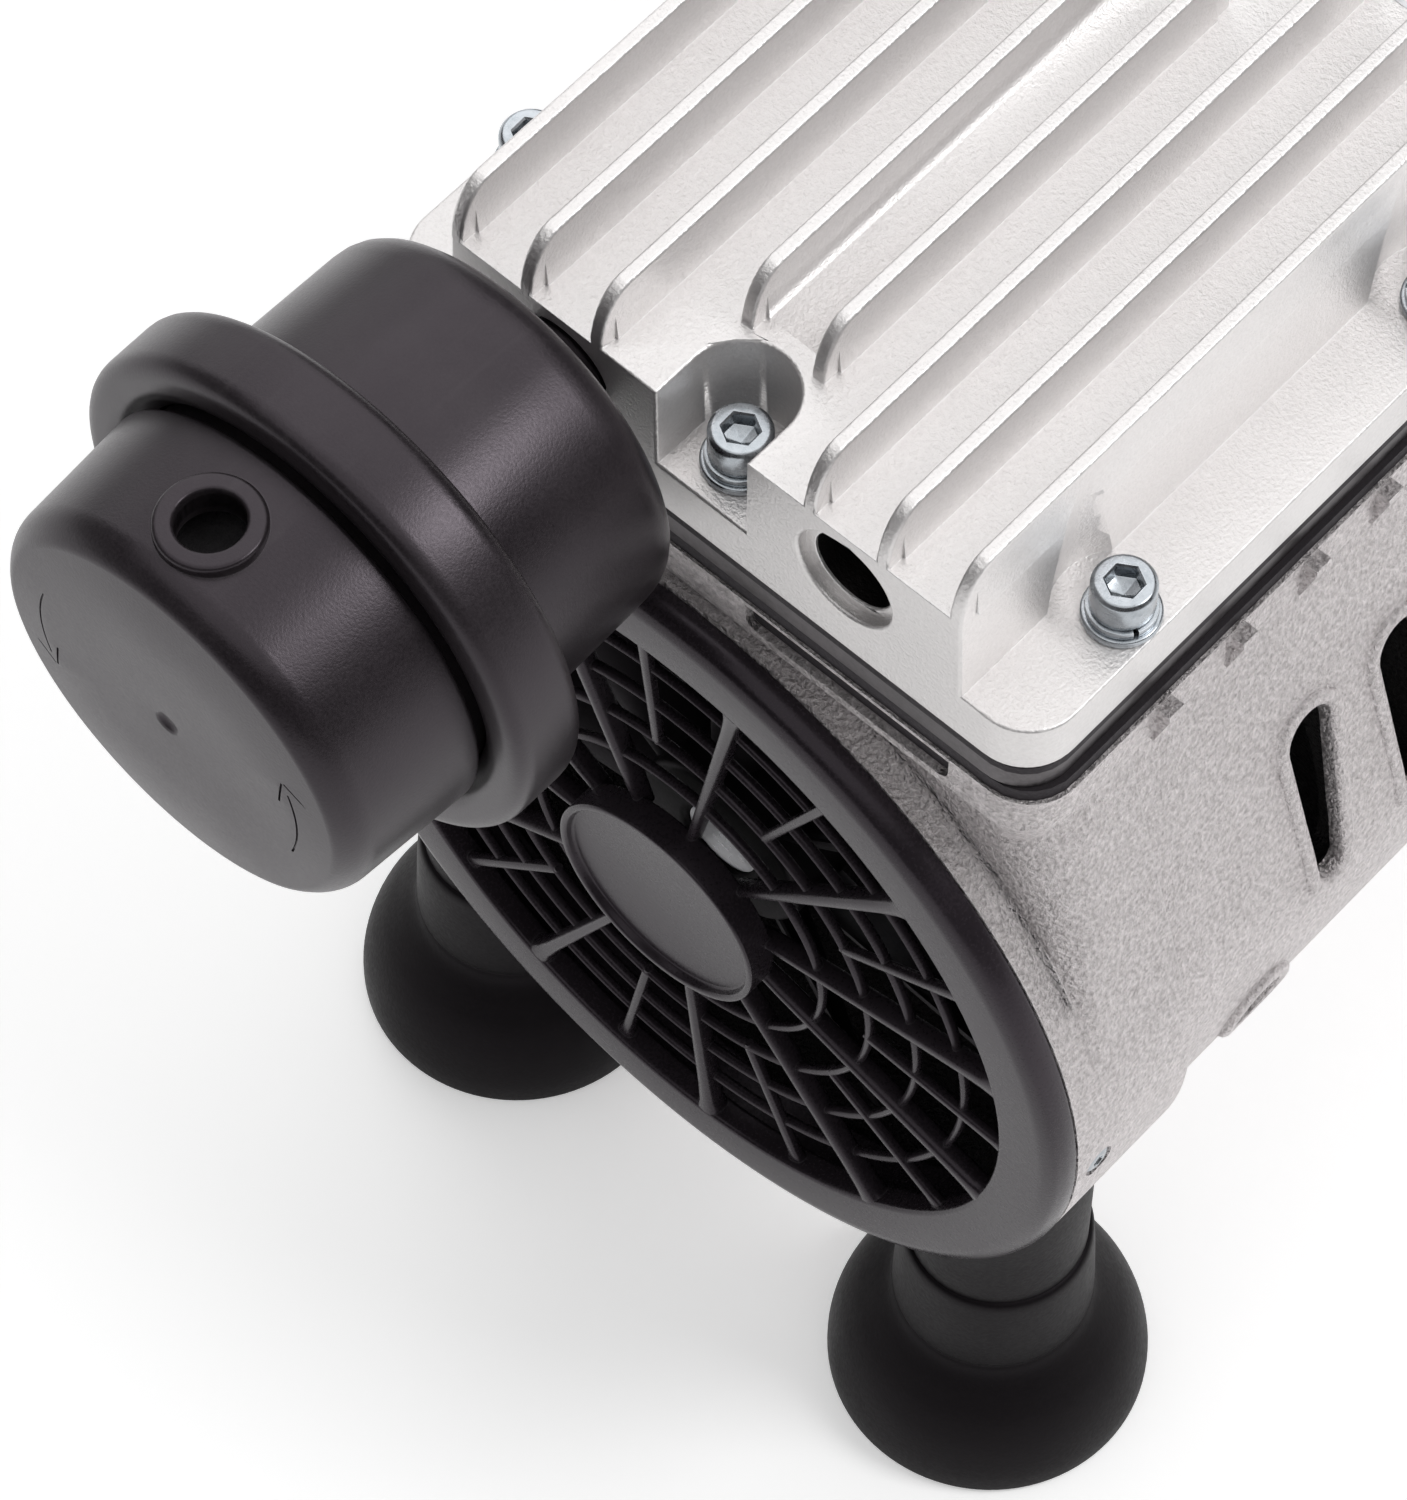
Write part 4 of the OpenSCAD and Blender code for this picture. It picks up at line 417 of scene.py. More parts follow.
BY_ANGLE, take, give, ANGLE_SOCKETS = geometry_tree("shade by angle", Geometry="Geometry", Angle="Float")
bend = put(BY_ANGLE, "GeometryNodeInputMeshEdgeAngle")
sharp = put(BY_ANGLE, "FunctionNodeCompare", [(bend.outputs["Unsigned Angle"], 0), (take["Angle"], 1)],
            data_type="FLOAT", operation="GREATER_THAN")
smooth = put(BY_ANGLE, "FunctionNodeBooleanMath", [(sharp.outputs[0], 0)], operation="NOT")
faces = put(BY_ANGLE, "GeometryNodeSetShadeSmooth", [(take["Geometry"], "Geometry")], domain="FACE")
rims = put(BY_ANGLE, "GeometryNodeSetShadeSmooth", [(faces.outputs[0], "Geometry"),
                                                    (smooth.outputs[0], "Shade Smooth")], domain="EDGE")
BY_ANGLE.links.new(rims.outputs[0], give)
COPIES, take, give, COPY_SOCKETS = geometry_tree("copies on points", Points="Geometry", Form="Object",
                                                 Finish="Material")
turn = put(COPIES, "GeometryNodeInputNamedAttribute", data_type="FLOAT_VECTOR", Name="turn")
form_of = put(COPIES, "GeometryNodeObjectInfo", [(take["Form"], "Object")])
on_points = put(COPIES, "GeometryNodeInstanceOnPoints", [
    (take["Points"], "Points"), (form_of.outputs["Geometry"], "Instance"),
    (turn.outputs["Attribute"], "Rotation")])
real = put(COPIES, "GeometryNodeRealizeInstances", [(on_points.outputs[0], "Geometry")])
finished = put(COPIES, "GeometryNodeSetMaterial", [(real.outputs[0], "Geometry"),
                                                   (take["Finish"], "Material")])
COPIES.links.new(finished.outputs[0], give)
print("trees", BY_ANGLE.name, "and", COPIES.name, sorted(COPY_SOCKETS))

# %% Modifiers, and meshes baked from them
JOIN_DISTANCE, FLAT_ANGLE, EDGE_ANGLE, SHADE_DEGREES = 0.00002, radians(0.6), radians(32), 40
ROOM_SHARE = 0.4  # how much of a face's width a rounded edge may take


def flat_wins(thing):
    """Large faces keep their own normal, so that only the rounded edges shade round."""
    weighted = thing.modifiers.new("flat faces win", "WEIGHTED_NORMAL")
    weighted.mode, weighted.weight, weighted.keep_sharp = "FACE_AREA", 100, True


def soften(node, width, segments):
    """Rounds the edges of a node with modifiers only."""
    node.modifiers.new("join", "WELD").merge_threshold = JOIN_DISTANCE
    flat = node.modifiers.new("flat faces", "DECIMATE")
    flat.decimate_type, flat.angle_limit = "DISSOLVE", FLAT_ANGLE
    bevel = node.modifiers.new("round edges", "BEVEL")
    bevel.width, bevel.segments, bevel.use_clamp_overlap = width, segments, False
    bevel.limit_method, bevel.angle_limit = "ANGLE", EDGE_ANGLE
    add_tree(node, BY_ANGLE, ANGLE_SOCKETS, Angle=radians(SHADE_DEGREES))
    flat_wins(node)


def baked(thing):
    """Turns an object's modifiers into plain mesh data, and takes the modifiers off."""
    bpy.context.view_layer.update()
    ready = thing.evaluated_get(bpy.context.evaluated_depsgraph_get())
    data = bpy.data.meshes.new_from_object(ready)
    thing.modifiers.clear()
    thing.data = data
    return data


def copies(name, form, places, slot):
    """Mesh data with a form on each place, (point, turn angles)."""
    points = bpy.data.meshes.new(name)
    points.from_pydata([place for place, _ in places], [], [])
    angles = points.attributes.new("turn", "FLOAT_VECTOR", "POINT")
    for i, (_, turned_by) in enumerate(places):
        angles.data[i].vector = turned_by
    holder, one = stand(name + ".points", points), stand(name + ".one", form)
    add_tree(holder, COPIES, COPY_SOCKETS, Form=one, Finish=FINISHES[slot])
    data = baked(holder)
    for thing in (holder, one):
        bpy.data.objects.remove(thing)
    return data


# %% [markdown]
# ## Mesh helpers
# Most of the pump's moulded pieces are turned forms: a profile that goes round an axis. A loft
# joins rings of points into a skin, so the same helper makes turned forms, bars and tubes. A
# moulding never has a sharp corner, so profiles pass through a function that rounds them.

# %% Lofts, turned forms and rounded profiles


def loft(mesh, rings, closed=False):
    """Skins rings of equally many points. The end rings are capped, unless the loft closes."""
    rows = [[mesh.verts.new(point) for point in ring] for ring in rings]
    following = rows[1:] + rows[:1] if closed else rows[1:]
    for near, far in zip(rows, following):
        for i in range(len(near)):
            j = (i + 1) % len(near)
            mesh.faces.new((near[i], near[j], far[j], far[i]))
    if not closed:
        mesh.faces.new(rows[0][::-1])
        mesh.faces.new(rows[-1])


def about_y(x, z, flip=1):
    """Places (radius, angle, y) in millimetres round an axis along Y; y counts from the cover's face."""
    return lambda radius, angle, y: Vector((x + radius * sin(angle) * MM, flip * (FRONT_Y + y * MM),
                                            z + radius * cos(angle) * MM))


def about_z(x, y):
    """Places (radius, angle, z) in millimetres round an upright axis."""
    return lambda radius, angle, z: Vector((x + radius * cos(angle) * MM,
                                            y + radius * sin(angle) * MM, z * MM))


def hexagon(angle):
    """How far a hexagon's outline is from its middle, where its flats are at 1."""
    return 1 / cos(angle % (pi / 3) - pi / 6)


def turned(mesh, profile, place, steps=96, closed=False, hexed=()):
    """Turns a profile of (radius, along) about an axis. Points numbered in hexed are hexagons."""
    loft(mesh, [[place(radius * (hexagon(angle) if number in hexed else 1), angle, along)
                 for angle in around(steps)] for number, (radius, along) in enumerate(profile)], closed)


def rounded(points, radius, steps=4, closed=False):
    """A profile with its corners rounded off. The ends stay unless the profile closes."""
    result = []
    for i, corner in enumerate(points):
        if not closed and i in (0, len(points) - 1):
            result.append(corner)
            continue
        here, before = Vector(corner), Vector(points[i - 1])
        after = Vector(points[(i + 1) % len(points)])
        back, on = before - here, after - here
        reach = min(radius, back.length * 0.49, on.length * 0.49)
        first, last = here + back.normalized() * reach, here + on.normalized() * reach
        for k in range(steps + 1):
            t = k / steps
            result.append(tuple(first * (1 - t) ** 2 + here * (2 * t * (1 - t)) + last * t ** 2))
    return result


def curve(points, steps=4):
    """A smooth curve through the points of a profile (Catmull-Rom)."""
    ends = [Vector(p) for p in [points[0], *points, points[-1]]]
    result = []
    for a, b, c, d in zip(ends, ends[1:], ends[2:], ends[3:]):
        for k in range(steps):
            t = k / steps
            result.append(tuple(b + (c - a) * (t / 2) + (a * 2 - b * 5 + c * 4 - d) * (t * t / 2)
                                + (b * 3 - a - c * 3 + d) * (t ** 3 / 2)))
    return result + [tuple(points[-1])]


def shaded(data, crisp=SHADE_DEGREES):
    """A mesh with smooth faces, and crisp edges where it turns sharply."""
    data.polygons.foreach_set("use_smooth", [True] * len(data.polygons))
    data.set_sharp_from_angle(angle=radians(crisp))
    return data


def as_mesh(name, form, crisp=SHADE_DEGREES):
    """The mesh of a bmesh, with its normals outward."""
    bmesh.ops.recalc_face_normals(form, faces=form.faces[:])
    data = bpy.data.meshes.new(name)
    form.to_mesh(data)
    form.free()
    return shaded(data, crisp)


def lofted(name, rings, closed=False, crisp=SHADE_DEGREES):
    """The mesh of one loft."""
    form = bmesh.new()
    loft(form, rings, closed)
    return as_mesh(name, form, crisp)


def turning(name, profile, place, steps=96, closed=False, hexed=(), crisp=SHADE_DEGREES):
    """The mesh of one turned form."""
    form = bmesh.new()
    turned(form, profile, place, steps, closed, hexed)
    return as_mesh(name, form, crisp)


def joined(name, parts):
    """One mesh out of several, each kept as its own shell."""
    form = bmesh.new()
    for part in parts:
        form.from_mesh(part)
    return as_mesh(name, form)


def piece(name, data, slot, body, *replaced):
    """An object of the pump: its finish from a slot, its body, and the nodes it stands for."""
    thing = stand(name, data)
    paint(thing, slot)
    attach(thing, body)
    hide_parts(*replaced)
    print(name, len(data.polygons), "faces on", body)
    return thing


def fastened(name, form, places, node):
    """A piece of equal zinc plated forms."""
    piece(name, copies(name, form, places, "zinc"), "zinc", "pump_body", node)


# %% [markdown]
# ## Screws and washers
# Each cover is held by six M6 socket head screws. A real head is turned, with a chamfer round its
# top and a pressed hexagon socket. Under it lie a spring washer, a short turn of square wire with
# a gap, and a flat washer. Cylinders with a boolean could make them, but a turned profile gives
# the fine rounds that catch the light. The wire is a loft along a helix. Geometry Nodes puts each
# form on its twelve places, so a form is made only once.

# %% Places of the cover screws
SCREWS = [(0, 8.6), (-58.3, 26.4), (58.3, 26.4), (-58.3, 99.6), (58.3, 99.6), (0, 117.4)]
screw_places = [((x * MM, flip * (FRONT_Y + y * MM), 0), (0, 0, 0.9 + 2.1 * number + 0.7 * flip))
                for number, (x, y) in enumerate(SCREWS) for flip in (1, -1)]
print(len(screw_places), "places")

# %% Socket head screws
WASHER_Z, SPRING_Z, HEAD_Z, HEAD_TOP, SHANK_END = 233.9, 235.4, 237.0, 243.0, 199.9
HEAD_R, SHANK_R, SOCKET_HALF, SOCKET_DEPTH = 5.0, 3.0, 2.5, 3.0
outside = rounded([(0.05, SHANK_END), (SHANK_R - 0.5, SHANK_END), (SHANK_R, SHANK_END + 0.6),
                   (SHANK_R, HEAD_Z), (HEAD_R - 0.3, HEAD_Z), (HEAD_R, HEAD_Z + 0.3),
                   (HEAD_R, HEAD_TOP - 0.7), (HEAD_R - 0.6, HEAD_TOP), (SOCKET_HALF + 0.9, HEAD_TOP)],
                  0.22, 2)
socket = [(SOCKET_HALF + 0.28, HEAD_TOP - 0.02), (SOCKET_HALF, HEAD_TOP - 0.35),
          (SOCKET_HALF, HEAD_TOP - SOCKET_DEPTH), (SOCKET_HALF - 0.4, HEAD_TOP - SOCKET_DEPTH - 0.15)]
screw = turning("socket.screw", outside + socket + [(0.05, HEAD_TOP - SOCKET_DEPTH - 0.9)], about_z(0, 0),
                48, hexed=range(len(outside), len(outside) + len(socket)), crisp=28)
fastened("cap.screws", screw, screw_places, "cover_screws")

# %% Spring washers: a turn of square wire, cut and twisted
SPRING_T, GAP_ANGLE, TWIST_RISE, WIRE_STEPS, HOLE_R, WIRE_R = 1.6, 0.16, 0.35, 44, 3.05, 5.5
rings = []
for i in range(WIRE_STEPS + 1):
    share = i / WIRE_STEPS
    angle = GAP_ANGLE / 2 + (TURN - GAP_ANGLE) * share
    rise = TWIST_RISE * (share - 0.5)
    low, high = SPRING_Z + max(rise, 0) * 0.6, SPRING_Z + SPRING_T + min(rise, 0) * 0.6
    section = rounded([(HOLE_R, low), (WIRE_R, low), (WIRE_R, high), (HOLE_R, high)], 0.25, 2, closed=True)
    rings.append([about_z(0, 0)(radius, angle, z) for radius, z in section])
fastened("spring.rings", lofted("spring", rings), screw_places, "spring_washers")

# %% Flat washers, with the round edge that punching leaves
FLAT_R = 6.1
section = rounded([(HOLE_R, WASHER_Z), (FLAT_R, WASHER_Z), (FLAT_R, SPRING_Z), (HOLE_R, SPRING_Z)], 0.4, 3,
                  closed=True)
fastened("flat.rings", turning("flat", section, about_z(0, 0), 64, closed=True), screw_places,
         "flat_washers")

# %% Guard screws: small round heads sunk in the casting's collar
HEAD_END, GUARD_SCREW_Y, GUARD_SCREW_DIPS = 81.4, 3.5, (2.8, 90, 177.2)
profile = [(0.05, 8.1), (1.2, 8.1), (1.5, 7.7), (1.5, 1.6), (2.75, 1.55), (2.97, 1.2), (2.9, 0.75),
           (2.45, 0.3), (1.7, 0.06), (1.15, 0.05), (0.95, 0.35), (0.85, 1.0), (0.05, 1.2)]
screw = turning("round.screw", [(radius, HEAD_END - depth) for radius, depth in profile], about_z(0, 0),
                40, hexed=(9, 10, 11), crisp=35)
fastened("guard.fixings", screw, [((0, flip * (FRONT_Y + GUARD_SCREW_Y * MM), SHAFT_Z),
                                   (0, radians(90 + dip), 0))
                                  for dip in GUARD_SCREW_DIPS for flip in (1, -1)], "guard_screws")

# %% [markdown]
# ## Fan guards
# A guard is one moulding: a round rim, a dished disc in the middle, eleven long spokes that widen
# into the rim, eleven short ones between them, and four thin rings behind. Every bar of a moulding
# is crowned in front so that it leaves the mould, which gives it a soft line of light. Boxes with
# a bevel would stay flat in front, so a bar is a loft through rounded sections, and Geometry
# Nodes turns its copies round the shaft.

# %% A bar of a guard, crowned in front


def bar(stations):
    """A bar along +Z from (radius, width, front y, depth) stations, in millimetres."""
    rings = []
    for radius, width, front, depth in stations:
        ring = []
        for angle in around(20):
            across = copysign(abs(cos(angle)) ** 0.6, cos(angle))
            along = copysign(abs(sin(angle)) ** 0.8, sin(angle))
            ring.append(Vector((across * width / 2, front + depth / 2 - along * depth / 2, radius)) * MM)
        rings.append(ring)
    return lofted("bar", rings, crisp=60)


LONG_BAR = [(18.4, 1.7, -7.0, 3.4), (24, 1.8, -7.2, 3.8), (45, 2.3, -7.2, 4.0), (62, 2.8, -7.2, 4.0),
            (67, 3.4, -7.3, 4.1), (69, 4.6, -7.4, 4.3), (70.4, 6.2, -7.45, 4.4)]
SHORT_BAR = [(40, 1.1, -5.9, 1.6), (41.2, 1.7, -6.1, 2.0), (60, 1.8, -6.1, 2.0), (67, 2.0, -6.1, 2.1),
             (69, 3.0, -6.2, 2.3), (70.4, 4.0, -6.3, 2.4)]
SPOKES, FIRST_SPOKE = 11, radians(10.3)
RIM = [(69.3, -7.5), (78.4, -7.5), (80.5, -6.6), (81.4, -4.5), (81.4, -2), (75.35, -2), (75.35, 6.4),
       (73.15, 6.4), (73.15, -2.7), (69.3, -2.7)]
HUB = [(0.05, -9.7), (19.2, -9.7), (19.5, -11.2), (20.8, -11.2), (20.8, -5.6), (0.05, -5.6)]
THIN_RINGS, RING_HALF = [(31.0 + 9.7 * i, -6.4 + 0.33 * i) for i in range(4)], 0.7

# %% Build both guards


def round_shaft(count, first=0.0):
    """Places on the shaft's line, evenly turned."""
    return [((0, 0, SHAFT_Z), (0, first + i * TURN / count, 0)) for i in range(count)]


for end, flip in ENDS:
    name, place, form = "fan.guard." + end, about_y(0, SHAFT_Z, flip), bmesh.new()
    turned(form, rounded(RIM, 0.9, 4, closed=True), place, 160, closed=True)
    turned(form, rounded(HUB, 0.45, 3), place, 96)
    for radius, front in THIN_RINGS:
        turned(form, [(radius + RING_HALF * cos(a), front + 1 - sin(a)) for a in around(12)],
               place, 144, closed=True)
    parts = [as_mesh(name + ".rings", form)]
    for label, stations, offset in (("long", LONG_BAR, 0), ("short", SHORT_BAR, 0.5)):
        one = bar([(radius, width, FRONT_Y / MM + front, depth) for radius, width, front, depth in stations])
        if flip < 0:
            one.transform(Matrix.Diagonal((1, -1, 1, 1)))
            one.flip_normals()
        turns = round_shaft(SPOKES, FIRST_SPOKE + offset * TURN / SPOKES)
        parts.append(copies(name + label, one, turns, "guard_plastic"))
    piece(name, joined(name, parts), "guard_plastic", "pump_body", "guard_" + end)

# %% [markdown]
# ## Fans
# Behind each guard a moulded fan turns with the shaft. Its blades are twisted, steep at the hub
# and flatter at the tip, and thin at both edges. A bent sheet would have one thickness, so a
# blade is lofted through ten sections, and seven copies of it stand round a turned hub.

# %% Build both fans
BLADES, FAN_MIDDLE, BLADE_CHORD, BLADE_ROOT, BLADE_SPAN, BLADE_STEPS = 7, 11.5, 12.6, 14.5, 51.3, 9
HUB_SECTION = [(7.05, 4), (17, 4), (17, 19), (7.05, 19)]


def blade(flip):
    """One twisted blade along +Z, in millimetres turned to metres."""
    rings = []
    for k in range(BLADE_STEPS + 1):
        share = k / BLADE_STEPS
        radius, pitch = BLADE_ROOT + BLADE_SPAN * share, radians(58 - 26 * share)
        chord, thick = BLADE_CHORD * (1 - 0.12 * share ** 6), 2.4 - 0.9 * share
        ring = []
        for angle in around(20):
            along = cos(angle) * chord / 2
            camber = 0.9 * (1 - (2 * along / chord) ** 2)
            across = sin(angle) * thick / 2 * (1 - 0.35 * cos(angle)) + camber
            y = along * sin(pitch) - across * cos(pitch)
            x = along * cos(pitch) + across * sin(pitch)
            ring.append(Vector((x * MM, flip * (FRONT_Y + (FAN_MIDDLE + y) * MM), radius * MM)))
        rings.append(ring)
    return lofted("blade", rings, crisp=60)


for end, flip in ENDS:
    name = "fan.wheel." + end
    hub = turning(name + ".hub", rounded(HUB_SECTION, 1.6, 5, closed=True), about_y(0, SHAFT_Z, flip), 72,
                  closed=True)
    blades = copies(name + ".blades", blade(flip), round_shaft(BLADES), "fan_plastic")
    piece(name, joined(name, [hub, blades]), "fan_plastic", "rotating_group", "fan_" + end)

# %% [markdown]
# ## Rubber feet
# Each foot is a soft bell: a wide skirt that swells from the floor, a waist with a fine groove,
# and a neck that takes the pump's weight. Straight steps between the measured points would show
# as rings, so the profile is a smooth curve through them, turned round the foot's axis.

# %% Build the four feet
SKIRT = [(26.9, 0), (27.75, 0.5), (27.98, 1.6), (27.85, 5), (27.1, 9), (25.7, 13.5), (23.6, 17.8),
         (21.0, 21.6), (18.9, 24.4)]
WAIST = [(17.9, 25.9), (17.3, 27.2), (16.95, 27.9), (17.05, 28.6), (17.3, 29.2), (17.1, 36),
         (16.6, 46), (16.2, 49.2), (15.4, 50)]
FOOT_X, FOOT_Y = 56, 12.6
profile = [(0.05, 18), (3.2, 18), (3.2, 0.4), (3.6, 0)] + curve(SKIRT + WAIST) + [(0.05, 50)]
for end, flip in ENDS:
    for side, x in (("left", -FOOT_X), ("right", FOOT_X)):
        node = f"foot_{end}_{side}"
        bell = turning(node, profile, about_z(x * MM, flip * (FRONT_Y + FOOT_Y * MM)), crisp=50)
        piece(f"bell.{end}.{side}", bell, "foot_rubber", "pump_body", node)

# %% [markdown]
# ## Gaskets
# A black line shows above and below the valve plate, whose colour is darkened as painted shade. Both
# gaskets are sheets that reach almost to the castings' edges, with a hole for the cylinder. A plate
# with a boolean hole would do, but a section that goes round leaves cleaner faces: its outer edge
# follows a rounded rectangle, and its inner one a circle.

# %% Sheets with a round hole
CORNER, SLEEVE_HOLE, OUTLINE_STEPS = 8.5, 42.0, 240


def rounded_rectangle(half_x, low_y, high_y, angle):
    """How far the outline is from the sheet's middle in the direction of an angle."""
    half_y = (high_y - low_y) / 2
    dx, dy = abs(cos(angle)), abs(sin(angle))
    reach = min(half_x / max(dx, 1e-6), half_y / max(dy, 1e-6))
    x, y = reach * dx, reach * dy
    cx, cy = half_x - CORNER, half_y - CORNER
    if x > cx and y > cy:
        along = dx * cx + dy * cy
        reach = along + sqrt(max(along ** 2 - cx ** 2 - cy ** 2 + CORNER ** 2, 0))
    return reach


def sheet_ring(name, half_x, low_y, high_y, low_z, high_z, flip, node):
    """A gasket: a flat sheet with a rounded outline and a round hole."""
    at, angles = about_z(0, flip * (FRONT_Y + (low_y + high_y) / 2 * MM)), around(OUTLINE_STEPS)
    rim = [rounded_rectangle(half_x, low_y, high_y, angle) for angle in angles]
    hole = [SLEEVE_HOLE] * OUTLINE_STEPS
    rings = [[at(reach, angle, z) for reach, angle in zip(row, angles)]
             for row, z in ((rim, low_z), (rim, high_z), (hole, high_z), (hole, low_z))]
    piece(name, lofted(name, rings, closed=True, crisp=30), "gasket", "pump_body", node)


# Half width, front and rear edge, underside and top of each sheet
LOWER_SHEET = 65.1, 0.5, 125.5, 214.4, 217.2
UPPER_SHEET = 64.35, 0.2, 125.8, 221.7, 223.4
for end, flip in ENDS:
    sheet_ring("gasket.low." + end, *LOWER_SHEET, flip, "lower_gasket_" + end)
    sheet_ring("gasket.top." + end, *UPPER_SHEET, flip, "upper_gasket_" + end)

# %% [markdown]
# ## Silencer
# The silencer is two mouldings. The body is a drum with a wide ring, and a neck that screws into
# the port. The cap turns in the ring. Both are turned from a profile, because there each corner
# can have its own generous round, where a bevel gives all of them the same. The cap's outlet is
# drilled with a boolean and gets a raised rim, and two plain arrows are cut into its face.

# %% Silencer body
BODY_PROFILE = [(34.0, -52.5), (37.4, -55.5), (43.8, -55.5), (43.8, -41.9), (35.2, -41.9), (34.4, -40.9),
                (33.6, -9.8), (8.6, -9.8), (8.6, 0), (7.15, 0), (7.15, 11), (4.8, 11), (4.8, -12.8),
                (30.6, -12.8), (31.4, -41.9), (31.4, -47.9), (34.0, -47.9)]
ROUNDS = [0.5, 1.5, 4.2, 3.2, 1.2, 1.2, 6.5, 0.8, 0.3, 0.3, 0.8, 0.5, 0.8, 4, 0.5, 0.5, 0.3]


def softened(points, radii, steps=6):
    """A closed profile with its own round at each corner."""
    result = []
    for i, radius in enumerate(radii):
        trio = [points[i - 1], points[i], points[(i + 1) % len(points)]]
        result += rounded(trio, radius, steps)[1:-1]
    return result


drum = turning("silencer.body", softened(BODY_PROFILE, ROUNDS), about_y(MUFFLER_X, MUFFLER_Z), 160,
               closed=True, crisp=50)
piece("silencer.body", drum, "black_plastic", "pump_body", "muffler_body")

# %% [markdown]
# ## Cut and rounded copies
# A casting with many hollows keeps its node's form, so it starts as a merged copy of the node. A
# bevel of one width would run over narrow faces, so each edge gets its own share of the width, by
# the room that the faces beside it have. Holes are closed forms, taken away with a boolean.

# %% Copies of nodes, with cutters and rounded edges


def merged(data):
    """A bmesh of a mesh, with its loose triangles joined to whole faces."""
    form = bmesh.new()
    form.from_mesh(data)
    bmesh.ops.remove_doubles(form, verts=form.verts[:], dist=JOIN_DISTANCE)
    bmesh.ops.dissolve_limit(form, angle_limit=FLAT_ANGLE, verts=form.verts[:], edges=form.edges[:])
    return form


def copy_of(node):
    """A merged copy of a node's mesh."""
    form, data = merged(NODES[node].data), bpy.data.meshes.new(node + ".copy")
    form.to_mesh(data)
    form.free()
    return data


def strip_room(corner, along, inward, length, starts, ends):
    """How far a face goes on inwards from one of its edges before it meets another edge."""
    u0, v0 = (starts - corner) @ along, (starts - corner) @ inward
    u1, v1 = (ends - corner) @ along, (ends - corner) @ inward
    run = np.where(np.abs(u1 - u0) < 1e-9, 1e-9, u1 - u0)
    t0 = np.clip((length * 0.02 - u0) / run, 0, 1)
    t1 = np.clip((length * 0.98 - u0) / run, 0, 1)
    crossing = (np.minimum(u0, u1) < length * 0.98) & (np.maximum(u0, u1) > length * 0.02)
    depth = np.minimum(v0 + (v1 - v0) * t0, v0 + (v1 - v0) * t1)
    depth = depth[crossing & (depth > 1e-6)]
    return depth.min() if len(depth) else 1.0


def round_edges(data, width, above=-1.0, shortest=0.0, least=0.0):
    """A mesh with its crisp outer edges rounded, each as far as the faces beside it have room."""
    form = merged(data)
    weight = form.edges.layers.float.new("bevel_weight_edge")
    crisp = {edge: 1.0 for edge in form.edges
             if edge.is_convex and edge.calc_face_angle(0) > EDGE_ANGLE
             and min(vert.co.z for vert in edge.verts) > above and edge.calc_length() > shortest}
    for face in form.faces:
        starts = np.array([loop.vert.co for loop in face.loops])
        ends = np.roll(starts, -1, axis=0)
        normal = np.array(face.normal)
        for i, loop in enumerate(face.loops):
            if loop.edge not in crisp:
                continue
            length = loop.edge.calc_length()
            along = (ends[i] - starts[i]) / length
            room = strip_room(starts[i], along, np.cross(normal, along), length, starts, ends)
            share = ROOM_SHARE * room / width
            crisp[loop.edge] = min(crisp[loop.edge], share if share >= least else 0.0)
    for edge, share in crisp.items():
        edge[weight] = share
    print("rounded", sum(share > 0.5 for share in crisp.values()), "of", len(crisp), "crisp edges")
    form.to_mesh(data)
    form.free()
    thing = stand("rounding", data)
    bevel = thing.modifiers.new("round edges", "BEVEL")
    bevel.width, bevel.segments, bevel.limit_method = width, 3, "WEIGHT"
    bevel.use_clamp_overlap, bevel.miter_outer = False, "MITER_ARC"
    result = baked(thing)
    bpy.data.objects.remove(thing)
    return shaded(result)


def carved(data, cutters):
    """A mesh with each closed form cut away from it."""
    thing = stand(data.name, data)
    for cutter in cutters:
        tool = stand("cutter", cutter)
        cut = thing.modifiers.new("cut", "BOOLEAN")
        cut.operation, cut.solver, cut.object = "DIFFERENCE", "EXACT", tool
        baked(thing)
        bpy.data.objects.remove(tool)
    result = thing.data
    bpy.data.objects.remove(thing)
    return result


# %% Arrows for the cap: a bent line and two short ones for its head
FACE_Y, MARK_DEPTH, MARK_WIDTH = -82.5, 0.45, 0.5
MARK_R, MARK_SPAN, MARK_STEPS, HEAD_LEAN, HEAD_LENGTH = 25.5, 44, 14, 0.55, 6.0


def stroke(form, points):
    """A thin groove cutter along points (x, z) on the cap's face, in millimetres from its middle."""
    rings = []
    for i, (x, z) in enumerate(points):
        ahead = Vector(points[min(i + 1, len(points) - 1)]) - Vector(points[max(i - 1, 0)])
        side = Vector((-ahead.y, ahead.x)).normalized() * MARK_WIDTH / 2
        rings.append([Vector((MUFFLER_X + (x + k * side.x) * MM, FRONT_Y + (FACE_Y + y) * MM,
                              MUFFLER_Z + (z + k * side.y) * MM))
                      for k, y in ((1, -0.5), (-1, -0.5), (-0.6, MARK_DEPTH), (0.6, MARK_DEPTH))])
    loft(form, rings)


form = bmesh.new()
for start in (66, 246):
    angles = [radians(start + MARK_SPAN * k / MARK_STEPS) for k in range(MARK_STEPS + 1)]
    stroke(form, [(MARK_R * sin(a), MARK_R * cos(a)) for a in angles[2:]])
    tip = Vector((MARK_R * sin(angles[0]), MARK_R * cos(angles[0])))
    for lean in (-HEAD_LEAN, HEAD_LEAN):
        way = angles[0] + pi / 2 + lean
        stroke(form, [tuple(tip + Vector((sin(way), cos(way))) * far)
                      for far in (0.4, HEAD_LENGTH)])
arrows = as_mesh("arrows", form)
print("arrows", len(arrows.polygons), "faces")

